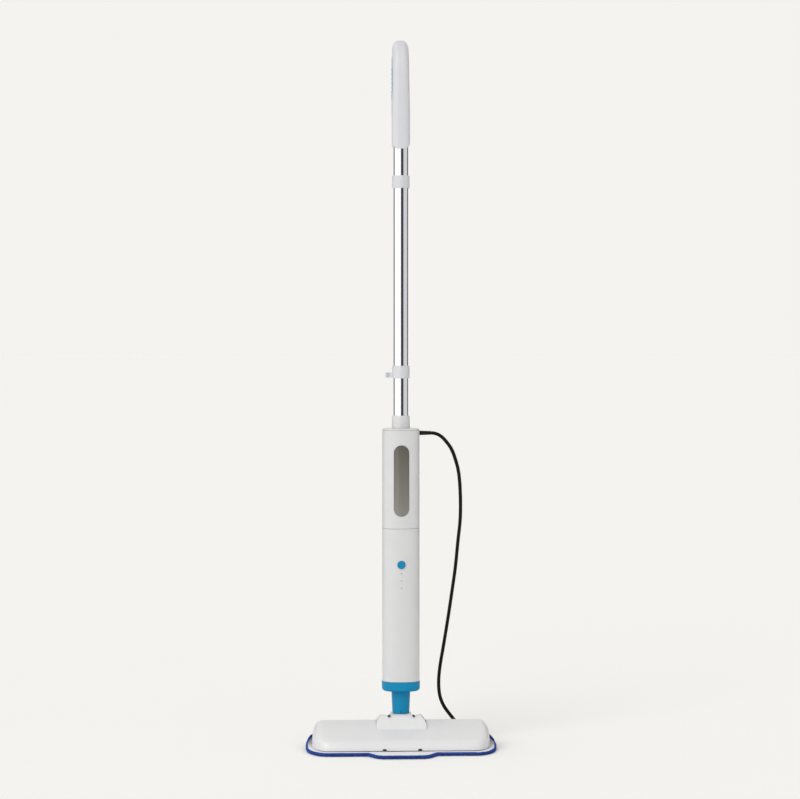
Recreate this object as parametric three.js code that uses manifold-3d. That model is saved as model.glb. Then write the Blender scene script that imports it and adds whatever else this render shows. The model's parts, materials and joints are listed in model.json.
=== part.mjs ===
// A steam mop standing upright on its floor pad, in millimetres, +Z up.
// The origin is on the floor, on the axis of the pole. The front faces -Y and the left end is at -X.

import * as THREE from "three";
import { mergeVertices } from "three/addons/utils/BufferGeometryUtils.js";
import Module from "manifold-3d";

const wasm = await Module();
wasm.setup();

// ---------------------------------------------------------------------------------------------
// Driving dimensions, in millimetres. Heights are above the floor.
// ---------------------------------------------------------------------------------------------

const GAP = 0.3; // clearance between neighbouring pieces

const HANDLE = {
  bottom: 1014, // lower end of the handle socket
  top: 1200,
  halfWidth: 15.2,
  edgeRound: 11, // rounding of the handle's long edges
  loopRear: 87, // rear of the D-shaped loop
};

const POLE = { radius: 12.5, wall: 1.2, foot: 523, joint: 638.5, top: 1050 };

const HOOK = {
  outerRadius: 14.75,
  height: 21,
  armHeight: 8.5,
  barDistance: 29, // from the pole's axis to the middle of the cross bar
  barLength: 20,
  upperFoot: 948,
  lowerFoot: 628,
  lowerTurn: 37, // degrees that the lower hook is turned to the left
};

const BODY = {
  halfWidth: 31.5,
  halfDepth: 28,
  power: 2.6, // exponent of the rounded oval section
  wall: 2.5,
  foot: 116,
  seam: 375,
  lidFoot: 540.5,
  top: 543.5,
};

const WINDOW = { halfWidth: 12.7, foot: 396, top: 515.5 };
const FILLER = {
  halfWidth: 15,
  foot: 482,
  top: 516,
  portZ: 500, // height of the tank's mouth
  hingeY: 30.2,
  hingeZ: 484.2,
  hingeRadius: 1.8,
  barrelHalfLength: 6.2,
  earOuter: 10.5, // outer faces of the two ears that hold the hinge pin
};
const BUTTON = { z: 314.5, radius: 6.65, front: -29.2 };
const LIGHT_HEIGHTS = [299.5, 287.5, 275.5];
const LIGHT_RADIUS = 1.2;

const CAP = { foot: 100, halfWidth: 32.2, halfDepth: 28.7, edgeRound: 4.5 };
const STEM = { topRadius: 16, footRadius: 14.3, bore: 10, foot: 61 };

const ROLL_AXIS_Z = 45; // the pole rolls left and right about a line along Y at this height
const PITCH_AXIS_Z = 33; // the pole leans back about a line along X at this height
const KNUCKLE = { halfWidth: 17.8, halfDepth: 15.8, top: 60.7, foot: 37.5 };
const THROAT_HALF_WIDTH = 24.1; // free width for the knuckle between the ears of the hinge housing

const HEAD = {
  halfWidth: 151.5,
  halfDepth: 66,
  endDepth: 29.5, // how far the curved ends reach in from the sides
  foot: 7.5,
  ridge: 48,
  wall: 2.5,
};
const HOUSING = { halfWidth: 42.5, front: -33, rear: 48 };
const PAD = {
  halfWidth: 162,
  halfDepth: 74.5,
  endDepth: 38,
  thickness: 6,
  tabHalfWidth: 50,
  tabFront: -101.5,
};

const CORD_DIAMETER = 6;
const GLAND = { start: 25, end: 52, z: 535.5 };
const COIL = {
  x: 31,
  y: 140,
  halfStraight: 45, // half the length of the coil's straight runs, which lie along X
  innerRadius: 22,
  outerRadius: 46,
  height: 18,
  tailRadius: 49,
};
const PLUG = { turn: 110, tailStart: 28.5, reliefLength: 24, length: 37, width: 26, thickness: 14 };

// ---------------------------------------------------------------------------------------------
// Colours and finishes
// ---------------------------------------------------------------------------------------------

const FINISHES = {
  white_plastic: { color: 0xe4e4e6, roughness: 0.42, metalness: 0 },
  blue_plastic: { color: 0x1390be, roughness: 0.38, metalness: 0 },
  blue_grip: { color: 0x2a8fa8, roughness: 0.7, metalness: 0 },
  chrome: { color: 0xf0f0f2, roughness: 0.08, metalness: 1 },
  grey_window: { color: 0x857f7a, roughness: 0.15, metalness: 0 },
  clear_tank: { color: 0xc8ccd0, roughness: 0.2, metalness: 0 },
  grey_lens: { color: 0xa8aaad, roughness: 0.3, metalness: 0 },
  black_plastic: { color: 0x1b1b1c, roughness: 0.5, metalness: 0 },
  black_cord: { color: 0x161616, roughness: 0.45, metalness: 0 },
  black_rubber: { color: 0x222222, roughness: 0.8, metalness: 0 },
  steel: { color: 0xb9bcc0, roughness: 0.3, metalness: 1 },
  brass: { color: 0xc2a35a, roughness: 0.3, metalness: 1 },
  aluminium: { color: 0xc4c7ca, roughness: 0.4, metalness: 1 },
  green_board: { color: 0x1d5b3a, roughness: 0.5, metalness: 0 },
  silicone: { color: 0xd9d6cf, roughness: 0.6, metalness: 0 },
  hook_tape: { color: 0x3a3c40, roughness: 0.95, metalness: 0 },
  pad_fabric: { color: 0x1b3a92, roughness: 0.95, metalness: 0 },
};

// ---------------------------------------------------------------------------------------------
// Solid geometry helpers. Each one takes and gives a THREE.BufferGeometry.
// ---------------------------------------------------------------------------------------------

function radians(degrees) {
  return THREE.MathUtils.degToRad(degrees);
}

// The volume is negative when the faces point inwards.
function signedVolume(position, corners) {
  const a = new THREE.Vector3();
  const b = new THREE.Vector3();
  const c = new THREE.Vector3();
  let total = 0;
  for (let i = 0; i < corners.length; i += 3) {
    a.fromBufferAttribute(position, corners[i]);
    b.fromBufferAttribute(position, corners[i + 1]);
    c.fromBufferAttribute(position, corners[i + 2]);
    total += a.dot(b.cross(c)) / 6;
  }
  return total;
}

// Merges shared corners, drops triangles with no area and turns all faces outwards.
function cleaned(geometry) {
  const bare = geometry.clone();
  bare.deleteAttribute("normal");
  bare.deleteAttribute("uv");
  const merged = mergeVertices(bare);
  const index = merged.index.array;
  const corners = [];
  for (let i = 0; i < index.length; i += 3) {
    const [a, b, c] = [index[i], index[i + 1], index[i + 2]];
    if (a !== b && b !== c && c !== a) {
      corners.push(a, b, c);
    }
  }
  if (signedVolume(merged.attributes.position, corners) < 0) {
    corners.reverse();
  }
  merged.setIndex(corners);
  return merged;
}

function toManifold(geometry) {
  const clean = cleaned(geometry);
  const vertProperties = new Float32Array(clean.attributes.position.array);
  const triVerts = new Uint32Array(clean.index.array);
  return new wasm.Manifold(new wasm.Mesh({ numProp: 3, vertProperties, triVerts }));
}

function fromManifold(manifold) {
  const mesh = manifold.getMesh();
  const geometry = new THREE.BufferGeometry();
  geometry.setAttribute("position", new THREE.BufferAttribute(mesh.vertProperties, 3));
  geometry.setIndex(new THREE.BufferAttribute(mesh.triVerts, 1));
  return geometry;
}

function join(first, ...others) {
  return fromManifold(others.reduce((sum, other) => sum.add(toManifold(other)), toManifold(first)));
}

function cut(first, ...others) {
  return fromManifold(others.reduce((rest, other) => rest.subtract(toManifold(other)), toManifold(first)));
}

function common(first, ...others) {
  return fromManifold(others.reduce((rest, other) => rest.intersect(toManifold(other)), toManifold(first)));
}

function box(x0, x1, y0, y1, z0, z1) {
  const geometry = new THREE.BoxGeometry(x1 - x0, y1 - y0, z1 - z0);
  return geometry.translate((x0 + x1) / 2, (y0 + y1) / 2, (z0 + z1) / 2);
}

// A shape drawn in (x, y), extruded along Z.
function prismZ(shape, z0, z1, curveSegments = 8) {
  const geometry = new THREE.ExtrudeGeometry(shape, { depth: z1 - z0, bevelEnabled: false, curveSegments });
  return geometry.translate(0, 0, z0);
}

// Carries a shape drawn in (x, y) and extruded along Z to one drawn in (y, z) and extruded along X.
const TO_SIDE_VIEW = new THREE.Matrix4().makeBasis(
  new THREE.Vector3(0, 1, 0),
  new THREE.Vector3(0, 0, 1),
  new THREE.Vector3(1, 0, 0),
);

// A shape drawn in (y, z), extruded along X.
function prismX(shape, x0, x1, curveSegments = 8) {
  return prismZ(shape, x0, x1, curveSegments).applyMatrix4(TO_SIDE_VIEW);
}

// A shape drawn in (x, z), extruded along Y.
function prismY(shape, y0, y1, curveSegments = 8) {
  return prismZ(shape, -y1, -y0, curveSegments).rotateX(Math.PI / 2);
}

function polygon(points) {
  return new THREE.Shape(points.map(([x, y]) => new THREE.Vector2(x, y)));
}

// A turned piece. The outline is a list of [radius, height] points.
function turned(outline, sides = 24) {
  const points = outline.map(([radius, height]) => new THREE.Vector2(radius, height));
  return new THREE.LatheGeometry(points, sides).rotateX(Math.PI / 2);
}

function rod(radius, z0, z1, sides = 24) {
  return turned([[0, z0], [radius, z0], [radius, z1], [0, z1]], sides);
}

function pipe(outer, inner, z0, z1, sides = 24) {
  return turned([[inner, z0], [outer, z0], [outer, z1], [inner, z1], [inner, z0]], sides);
}

// Turns a piece built along Z so that its height runs along +Y, or along +X.
function alongY(geometry) {
  return geometry.rotateX(-Math.PI / 2);
}

function alongX(geometry) {
  return geometry.rotateY(Math.PI / 2);
}

// A closed loop of points |x/a|^p + |y/b|^p = 1, the rounded oval of the body.
function ovalShape(halfWidth, halfDepth, power = BODY.power, sides = 36) {
  const points = [];
  for (let i = 0; i < sides; i += 1) {
    const angle = (2 * Math.PI * i) / sides;
    const [c, s] = [Math.cos(angle), Math.sin(angle)];
    const x = halfWidth * Math.sign(c) * Math.abs(c) ** (2 / power);
    const y = halfDepth * Math.sign(s) * Math.abs(s) ** (2 / power);
    points.push([x, y]);
  }
  return polygon(points);
}

// A hollow sleeve with the body's section.
function ovalSleeve(inset, wall, z0, z1) {
  const outer = prismZ(ovalShape(BODY.halfWidth - inset, BODY.halfDepth - inset), z0, z1);
  const reach = inset + wall;
  const inner = prismZ(ovalShape(BODY.halfWidth - reach, BODY.halfDepth - reach), z0 - 1, z1 + 1);
  return cut(outer, inner);
}

// A block with the body's section and rounded upper and lower edges.
function roundedOvalBlock(halfWidth, halfDepth, z0, z1, edge) {
  const geometry = new THREE.ExtrudeGeometry(ovalShape(halfWidth, halfDepth), {
    depth: z1 - z0 - 2 * edge,
    bevelEnabled: true,
    bevelThickness: edge,
    bevelSize: edge,
    bevelOffset: -edge,
    bevelSegments: 3,
  });
  return geometry.translate(0, 0, z0 + edge);
}

// A rectangle in (x, y) whose two ends are half ellipses of the given depth.
function ovalEndedShape(halfWidth, halfDepth, endDepth) {
  const straight = halfWidth - endDepth;
  const shape = new THREE.Shape();
  shape.absellipse(straight, 0, endDepth, halfDepth, -Math.PI / 2, Math.PI / 2, false, 0);
  shape.absellipse(-straight, 0, endDepth, halfDepth, Math.PI / 2, (3 * Math.PI) / 2, false, 0);
  return shape;
}

// A round hose, cord or wire along a smooth curve through the given points.
function hose(points, radius, steps, sides = 8) {
  const path = new THREE.CatmullRomCurve3(points.map((point) => new THREE.Vector3(...point)));
  const section = [];
  for (let i = 0; i < sides; i += 1) {
    const angle = (2 * Math.PI * i) / sides;
    section.push([radius * Math.cos(angle), radius * Math.sin(angle)]);
  }
  return new THREE.ExtrudeGeometry(polygon(section), { steps, extrudePath: path, bevelEnabled: false });
}

// ---------------------------------------------------------------------------------------------
// Pole and handle
// ---------------------------------------------------------------------------------------------

// The side view of the handle, in (y, z): a socket for the pole that opens into a D-shaped loop.
function handleOutline() {
  const { bottom, top, loopRear } = HANDLE;
  const outline = new THREE.Shape();
  outline.moveTo(-15.2, bottom);
  outline.lineTo(-15.2, 1142);
  outline.bezierCurveTo(-15.2, 1178, 4, top, 36, top);
  outline.bezierCurveTo(67, top, loopRear, 1180, loopRear, 1146);
  outline.lineTo(85, 1112);
  outline.bezierCurveTo(81, 1074, 15.2, 1090, 15.2, 1046);
  outline.lineTo(15.2, bottom);
  outline.closePath();
  const gap = new THREE.Path();
  gap.moveTo(12.5, 1104);
  gap.bezierCurveTo(12.5, 1090, 57, 1097, 59, 1118);
  gap.lineTo(60.5, 1143);
  gap.bezierCurveTo(60.5, 1162, 52, 1173.5, 37, 1173.5);
  gap.bezierCurveTo(22, 1173.5, 12.5, 1161, 12.5, 1141);
  gap.closePath();
  outline.holes.push(gap);
  return outline;
}

function handleBlock() {
  const { halfWidth, edgeRound } = HANDLE;
  const depth = 2 * (halfWidth - edgeRound);
  const geometry = new THREE.ExtrudeGeometry(handleOutline(), {
    depth,
    bevelEnabled: true,
    bevelThickness: edgeRound,
    bevelSize: edgeRound - 1,
    bevelOffset: 1 - edgeRound,
    bevelSegments: 2,
    curveSegments: 6,
  });
  return geometry.translate(0, 0, -depth / 2).applyMatrix4(TO_SIDE_VIEW);
}

// The zone at the rear of the loop that the soft grip fills.
function gripZone(clearance) {
  return box(-40, 40, 64 + clearance, 100, 1102 + clearance, 1178 - clearance);
}

// Places of the handle's screws in the side view, as [y, z].
const HANDLE_SCREWS = {
  handle_screw_lower: [0, 1068],
  handle_screw_upper: [66, 1090],
};

function handleShell(side) {
  const x0 = side < 0 ? -40 : GAP / 2;
  const ownSide = box(x0, x0 + 40 - GAP / 2, -50, 120, HANDLE.bottom - 10, HANDLE.top + 10);
  const half = common(handleBlock(), ownSide);
  const socket = rod(POLE.radius + GAP, HANDLE.bottom - 5, POLE.top + 2);
  const screwHoles = Object.values(HANDLE_SCREWS).map((place) => handleScrew(place, GAP));
  return cut(half, socket, gripZone(0), ...screwHoles);
}

// A pan-head screw along +X through both halves, grown by the clearance to cut its own hole.
function handleScrew([y, z], clearance = 0) {
  const outline = [
    [0, -9 - clearance],
    [1.6 + clearance, -9 - clearance],
    [1.6 + clearance, 6 - clearance],
    [3.2 + clearance, 6 - clearance],
    [3.2 + clearance, clearance > 0 ? 20 : 9],
    [0, clearance > 0 ? 20 : 9],
  ];
  return alongX(turned(outline, 12)).translate(0, y, z);
}

function cordHook(foot, turnDegrees) {
  const { outerRadius, height, armHeight, barDistance, barLength } = HOOK;
  const collar = pipe(outerRadius, POLE.radius + GAP, foot, foot + height, 32);
  const arm = box(-3, 3, 13.8, barDistance, foot + 0.8, foot + 0.8 + armHeight);
  const bar = new THREE.Shape();
  const endRadius = 2.5;
  const reach = barLength / 2 - endRadius;
  bar.absarc(reach, barDistance, endRadius, -Math.PI / 2, Math.PI / 2, false);
  bar.absarc(-reach, barDistance, endRadius, Math.PI / 2, (3 * Math.PI) / 2, false);
  const crossBar = prismZ(bar, foot + 0.8, foot + 0.8 + armHeight, 5);
  return join(collar, arm, crossBar).rotateZ(radians(turnDegrees));
}

// ---------------------------------------------------------------------------------------------
// Upper body: neck, lid, tank shell, tank, window and filler flap
// ---------------------------------------------------------------------------------------------

function neckCollar() {
  const bore = POLE.radius + GAP;
  return turned([
    [0, 520.5],
    [15, 520.5],
    [15, BODY.top + GAP],
    [15.4, BODY.top + GAP],
    [14.6, 565],
    [bore, 565],
    [bore, POLE.foot - GAP],
    [0, POLE.foot - GAP],
  ], 32);
}

function topLid() {
  const block = roundedOvalBlock(BODY.halfWidth, BODY.halfDepth, BODY.top - 9, BODY.top, 3.5);
  const kept = common(block, box(-50, 50, -50, 50, BODY.lidFoot + GAP, BODY.top + 5));
  return cut(kept, rod(15 + GAP, BODY.lidFoot - 5, BODY.top + 5, 32));
}

// A stadium in (x, z): straight sides with full-round ends.
function stadium(halfWidth, z0, z1) {
  const shape = new THREE.Shape();
  shape.absarc(0, z1 - halfWidth, halfWidth, 0, Math.PI, false);
  shape.absarc(0, z0 + halfWidth, halfWidth, Math.PI, 2 * Math.PI, false);
  return shape;
}

// A rod along the filler flap's hinge line.
function hingeRod(radius, halfLength) {
  return alongX(rod(radius, -halfLength, halfLength, 16)).translate(0, FILLER.hingeY, FILLER.hingeZ);
}

// One of the two ears on the back of the tank housing that hold the flap's hinge pin.
function hingeEar(side) {
  const { hingeY, hingeZ, hingeRadius, barrelHalfLength, earOuter } = FILLER;
  const inner = barrelHalfLength + GAP;
  const [x0, x1] = side < 0 ? [-earOuter, -inner] : [inner, earOuter];
  const bracket = polygon([
    [25.7, hingeZ - 8],
    [hingeY + hingeRadius, hingeZ - 3],
    [hingeY + hingeRadius, hingeZ],
    [hingeY - hingeRadius, hingeZ],
    [hingeY - hingeRadius, hingeZ - 2.4],
    [25.7, hingeZ - 2.4],
  ]);
  const round = common(hingeRod(hingeRadius, 20), box(x0, x1, 20, 40, hingeZ - 5, hingeZ + 5));
  return join(prismX(bracket, x0, x1), round);
}

function tankHousing() {
  const shell = ovalSleeve(0, BODY.wall, BODY.seam + GAP / 2, BODY.lidFoot);
  const windowSlot = prismY(stadium(WINDOW.halfWidth + GAP, WINDOW.foot - GAP, WINDOW.top + GAP), -40, 0);
  const fillerHole = box(-FILLER.halfWidth, FILLER.halfWidth, 10, 40, FILLER.foot, FILLER.top);
  const cordHole = alongX(rod(4, 20, 40, 16)).translate(0, 0, GLAND.z);
  return cut(join(shell, hingeEar(-1), hingeEar(1)), windowSlot, fillerHole, hingeRod(1.2, 20), cordHole);
}

function tankWindow() {
  const skin = ovalSleeve(0, 2, WINDOW.foot - 5, WINDOW.top + 5);
  return common(skin, prismY(stadium(WINDOW.halfWidth, WINDOW.foot, WINDOW.top), -40, 0));
}

function waterTank() {
  const outer = prismZ(ovalShape(24, 20.3, BODY.power, 28), 386, 519);
  const inner = prismZ(ovalShape(22.2, 18.5, BODY.power, 28), 388, 517);
  const port = alongY(rod(8, 10, 30, 16)).translate(0, 0, FILLER.portZ);
  const outlet = rod(2, 380, 392, 10);
  const spigot = pipe(3.6, 2, 381, 387, 10);
  return cut(join(cut(outer, inner), spigot), port, outlet);
}

function fillerCap() {
  const { halfWidth, foot, top, hingeY, hingeZ, hingeRadius, barrelHalfLength } = FILLER;
  const skin = ovalSleeve(0, BODY.wall, foot + GAP, top - 2 * GAP);
  const panel = common(skin, box(-halfWidth + GAP, halfWidth - GAP, 10, 40, foot, top));
  const barrel = hingeRod(hingeRadius, barrelHalfLength);
  const web = box(-barrelHalfLength, barrelHalfLength, 27, hingeY, hingeZ - 1.3, hingeZ + 1.3);
  return cut(join(panel, barrel, web), hingeRod(1.2, 20));
}

// The soft plug behind the flap: its nose closes the tank's mouth.
function fillerSeal() {
  const plug = turned([
    [0, 18.8],
    [5.6, 18.8],
    [6.2, 20.4],
    [9, 20.9],
    [9, 23],
    [5, 23],
    [5, 25.2],
    [0, 25.2],
  ], 20);
  return alongY(plug).translate(0, 0, FILLER.portZ);
}

// ---------------------------------------------------------------------------------------------
// Lower body: shells, button, lights and the works inside
// ---------------------------------------------------------------------------------------------

function lowerHousing(side) {
  const shell = ovalSleeve(0, BODY.wall, BODY.foot + GAP, BODY.seam - GAP / 2);
  const y0 = side < 0 ? -50 : GAP / 2;
  const half = common(shell, box(-50, 50, y0, y0 + 50 - GAP / 2, 0, 600));
  if (side > 0) {
    return half;
  }
  const buttonHole = alongY(rod(7.9, -40, -15, 24)).translate(0, 0, BUTTON.z);
  const lightHoles = LIGHT_HEIGHTS.map((z) => {
    return alongY(rod(LIGHT_RADIUS + GAP, -40, -15, 12)).translate(0, 0, z);
  });
  return cut(half, buttonHole, ...lightHoles);
}

function powerButton() {
  const { z, radius, front } = BUTTON;
  return alongY(turned([
    [0, front],
    [radius - 0.8, front],
    [radius, front + 0.6],
    [radius, front + 3],
    [2.4, front + 3],
    [2.4, front + 4.8],
    [0, front + 4.8],
  ], 28)).translate(0, 0, z);
}

function buttonBezel() {
  return alongY(turned([
    [6.95, -28.9],
    [8.7, -28.9],
    [8.7, -28.35],
    [7.6, -28.35],
    [7.6, -25],
    [6.95, -25],
    [6.95, -28.9],
  ], 28)).translate(0, 0, BUTTON.z);
}

function buttonSpring() {
  const [start, end, turns] = [-25.8, -20.8, 4];
  const points = [];
  for (let i = 0; i <= turns * 8; i += 1) {
    const angle = (2 * Math.PI * i) / 8;
    const y = start + ((end - start) * i) / (turns * 8);
    points.push([5.3 * Math.cos(angle), y, BUTTON.z + 5.3 * Math.sin(angle)]);
  }
  return hose(points, 0.35, 36, 5);
}

function lightLens(z) {
  return alongY(rod(LIGHT_RADIUS, -28.2, -23, 12)).translate(0, 0, z);
}

function pump() {
  return turned([
    [0, 288],
    [3, 288],
    [3, 294],
    [10, 296],
    [13, 300],
    [13, 336],
    [9, 340],
    [9, 346],
    [3, 348],
    [3, 354],
    [0, 354],
  ], 20).translate(0, 6, 0);
}

function boiler() {
  const bodyPart = turned([
    [0, 138],
    [4, 138],
    [4, 142],
    [16, 144],
    [19, 148],
    [19, 206],
    [14, 212],
    [3, 214],
    [3, 222],
    [0, 222],
  ], 20);
  return join(bodyPart, box(-22, 22, -3, 3, 160, 196));
}

function baseCap() {
  const { foot, halfWidth, halfDepth, edgeRound } = CAP;
  const block = roundedOvalBlock(halfWidth, halfDepth, foot, BODY.foot + 8, edgeRound);
  const kept = common(block, box(-50, 50, -50, 50, 0, BODY.foot));
  const pocket = prismZ(ovalShape(halfWidth - 4, halfDepth - 4), foot + 6, BODY.foot + 5);
  const socketWall = rod(17, foot + 2, BODY.foot);
  const bore = rod(14 + GAP, foot - 5, BODY.foot + 10);
  return cut(join(cut(kept, pocket), socketWall), bore);
}

function stem() {
  const { topRadius, footRadius, bore, foot } = STEM;
  const top = CAP.foot - GAP;
  return turned([
    [bore, foot],
    [footRadius, foot],
    [topRadius, top],
    [14, top],
    [14, BODY.foot + 6],
    [bore, BODY.foot + 6],
    [bore, foot],
  ], 32);
}

// ---------------------------------------------------------------------------------------------
// The two-axis joint between the stem and the floor head
// ---------------------------------------------------------------------------------------------

function stemKnuckle() {
  const { halfWidth, halfDepth, top, foot } = KNUCKLE;
  const outline = polygon([
    [-9, foot],
    [9, foot],
    [halfWidth, foot + 11],
    [halfWidth, top - 3],
    [halfWidth - 3, top],
    [3 - halfWidth, top],
    [-halfWidth, top - 3],
    [-halfWidth, foot + 11],
  ]);
  const block = join(prismY(outline, -halfDepth, halfDepth), rod(STEM.bore - GAP, top - 1, 78));
  const forkGap = box(-30, 30, -9, 9, foot - 5, ROLL_AXIS_Z + 9.6);
  const steamWay = rod(4.4, foot, 90, 16);
  const pinBore = alongY(rod(3 + GAP, -20, 20, 16)).translate(0, 0, ROLL_AXIS_Z);
  return cut(block, forkGap, steamWay, pinBore);
}

function hingeYoke() {
  const tongueHead = alongY(rod(9, -8.7, 8.7, 24)).translate(0, 0, ROLL_AXIS_Z);
  const tongue = box(-9, 9, -6, 6, PITCH_AXIS_Z, ROLL_AXIS_Z);
  const crossShaft = alongX(rod(6.5, -23.8, 23.8, 20)).translate(0, 0, PITCH_AXIS_Z);
  const rollBore = alongY(rod(3 + GAP, -12, 12, 16)).translate(0, 0, ROLL_AXIS_Z);
  const pitchBores = [-1, 1].map((side) => pitchPinShape(side, 3.5 + GAP, 10, 30));
  return cut(join(tongueHead, tongue, crossShaft), rollBore, ...pitchBores);
}

function rollPin() {
  return alongY(rod(3, -15.8, 15.8, 16)).translate(0, 0, ROLL_AXIS_Z);
}

function pitchPinShape(side, radius, inner, outer) {
  const [x0, x1] = side < 0 ? [-outer, -inner] : [inner, outer];
  return alongX(rod(radius, x0, x1, 16)).translate(0, 0, PITCH_AXIS_Z);
}

// The space that the knuckle and stem sweep as the pole leans back and rolls: a throat between
// the ears that fans out to the rear, with a floor that slopes like the pole at full lean.
function throatSpace() {
  const half = THROAT_HALF_WIDTH;
  const plan = polygon([
    [-half, -16.2],
    [half, -16.2],
    [half, 12],
    [28, 25],
    [38, 42],
    [49, 62],
    [-49, 62],
    [-38, 42],
    [-28, 25],
    [-half, 12],
  ]);
  const sideView = polygon([
    [-17, 90],
    [-17, 24],
    [-8, 17],
    [4.3, 17],
    [62, 32.4],
    [62, 90],
  ]);
  return common(prismZ(plan, 0, 100), prismX(sideView, -60, 60));
}

// Widens the throat above the ears' shoulders, so that the stem can lean over them.
function shoulderRelief() {
  const half = THROAT_HALF_WIDTH;
  const frontView = polygon([
    [-half, 49],
    [half, 49],
    [30.5, 59],
    [30.5, 80],
    [-30.5, 80],
    [-30.5, 59],
  ]);
  return prismY(frontView, -16.2, 40);
}

function hingeHousing() {
  const { halfWidth, front, rear } = HOUSING;
  const frontView = polygon([
    [-halfWidth, 11.1],
    [halfWidth, 11.1],
    [halfWidth, 46],
    [39, 53],
    [34, 58.5],
    [31, 60],
    [-31, 60],
    [-34, 58.5],
    [-39, 53],
    [-halfWidth, 46],
  ]);
  const sideView = polygon([
    [-25, 11.1],
    [-25, 23],
    [front, 23],
    [front, 36],
    [-30, 43],
    [-21, 57.5],
    [-17.5, 60],
    [-8, 59.5],
    [9, 57],
    [16, 53],
    [24, 46],
    [rear, 30.5],
    [rear, 11.1],
  ]);
  const block = common(prismY(frontView, front, rear), prismX(sideView, -halfWidth, halfWidth));
  const hollows = [-1, 1].map((side) => {
    const [x0, x1] = side < 0 ? [-39.5, -33] : [33, 39.5];
    return box(x0, x1, -22, rear - 3, 5, 27);
  });
  const pinBores = [-1, 1].map((side) => pitchPinShape(side, 3.5 + GAP, 20, 31.3));
  return cut(block, throatSpace(), shoulderRelief(), ...hollows, ...pinBores);
}

// ---------------------------------------------------------------------------------------------
// Floor head
// ---------------------------------------------------------------------------------------------

// The head's outer form, or the same form drawn inwards by an inset on every side but the foot.
function headForm(inset) {
  const halfWidth = HEAD.halfWidth - inset;
  const halfDepth = HEAD.halfDepth - inset;
  const ridge = HEAD.ridge - inset;
  const foot = HEAD.foot - (inset > 0 ? 5 : 0);
  const frontView = new THREE.Shape();
  frontView.moveTo(-halfWidth, foot);
  frontView.lineTo(halfWidth, foot);
  frontView.lineTo(halfWidth - 2.5, 28);
  frontView.bezierCurveTo(halfWidth - 4, 38, halfWidth - 10, ridge, halfWidth - 21, ridge);
  frontView.lineTo(21 - halfWidth, ridge);
  frontView.bezierCurveTo(10 - halfWidth, ridge, 4 - halfWidth, 38, 2.5 - halfWidth, 28);
  const sideView = new THREE.Shape();
  const middle = 4;
  const crease = 24.4 - inset;
  sideView.moveTo(-halfDepth, foot);
  sideView.lineTo(-halfDepth, 12);
  sideView.lineTo(5 - halfDepth, crease - 3.5);
  sideView.lineTo(9 - halfDepth, crease);
  sideView.bezierCurveTo(-32, 39 - inset, -14, ridge, middle, ridge);
  sideView.bezierCurveTo(22, ridge, 38, 39 - inset, halfDepth - 9, crease);
  sideView.lineTo(halfDepth - 5, crease - 3.5);
  sideView.lineTo(halfDepth, 12);
  sideView.lineTo(halfDepth, foot);
  const plan = ovalEndedShape(halfWidth, halfDepth, HEAD.endDepth);
  return common(
    prismZ(plan, foot, ridge + 5, 8),
    prismY(frontView, -halfDepth - 5, halfDepth + 5, 5),
    prismX(sideView, -halfWidth - 5, halfWidth + 5, 6),
  );
}

// Places of the screws that hold the base plate to the cover, as [x, y].
const BASE_SCREWS = [[-112, -40], [112, -40], [-112, 40], [112, 40]];

function headCover() {
  const { halfWidth, front, rear } = HOUSING;
  const bosses = BASE_SCREWS.map(([x, y]) => rod(5, 11.2, 40, 12).translate(x, y, 0));
  const shell = cut(headForm(0), headForm(HEAD.wall));
  const bossedShell = join(shell, ...bosses.map((boss) => common(boss, headForm(HEAD.wall - 1))));
  const housingHole = box(-halfWidth - GAP, halfWidth + GAP, front - GAP, rear + GAP, 0, 80);
  const pilotHoles = BASE_SCREWS.map(([x, y]) => rod(2.1, 5, 22, 10).translate(x, y, 0));
  const tabSlots = [-1, 1].map((side) => box(side * 29.7 - 3.3, side * 29.7 + 3.3, -80, -60, 0, 10.3));
  return cut(bossedShell, housingHole, ...pilotHoles, ...tabSlots);
}

function basePlate() {
  const inset = HEAD.wall + 1;
  const outline = ovalEndedShape(HEAD.halfWidth - inset, HEAD.halfDepth - inset, HEAD.endDepth);
  const plate = prismZ(outline, 7.8, 10.8, 8);
  const holes = BASE_SCREWS.map(([x, y]) => {
    return turned([[0, 5], [4.4, 5], [4.4, 9.6], [2.1, 9.6], [2.1, 12], [0, 12]], 12).translate(x, y, 0);
  });
  const steamHoles = [];
  for (let i = -3; i <= 3; i += 1) {
    steamHoles.push(rod(2.5, 5, 12, 8).translate(i * 26, -39, 0));
  }
  return cut(plate, ...holes, ...steamHoles);
}

function baseScrew([x, y]) {
  return turned([[0, 8], [4, 8], [4, 9.3], [1.8, 9.3], [1.8, 20], [0, 20]], 12).translate(x, y, 0);
}

function steamGasket() {
  return cut(box(-104, 104, -51, -27, 11.1, 12.1), box(-98, 98, -47.5, -30.5, 5, 20));
}

function steamChamber() {
  const inlet = alongY(pipe(4, 2.2, -28, -25.6, 12)).translate(60, 0, 16.5);
  const way = alongY(rod(2.2, -35, -20, 12)).translate(60, 0, 16.5);
  const chamber = cut(box(-104, 104, -51, -27, 12.4, 21), box(-98, 98, -47.5, -30.5, 5, 18.5));
  return cut(join(chamber, inlet), way);
}

function mopPad() {
  const { halfWidth, halfDepth, endDepth, thickness, tabHalfWidth, tabFront } = PAD;
  const sheet = prismZ(ovalEndedShape(halfWidth, halfDepth, endDepth), 0, thickness, 12);
  const tab = polygon([
    [-tabHalfWidth - 8, -60],
    [-tabHalfWidth - 8, -halfDepth],
    [-tabHalfWidth + 6, tabFront + 5],
    [-tabHalfWidth + 16, tabFront],
    [tabHalfWidth - 16, tabFront],
    [tabHalfWidth - 6, tabFront + 5],
    [tabHalfWidth + 8, -halfDepth],
    [tabHalfWidth + 8, -60],
  ]);
  return join(sheet, prismZ(tab, 0, thickness));
}

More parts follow.
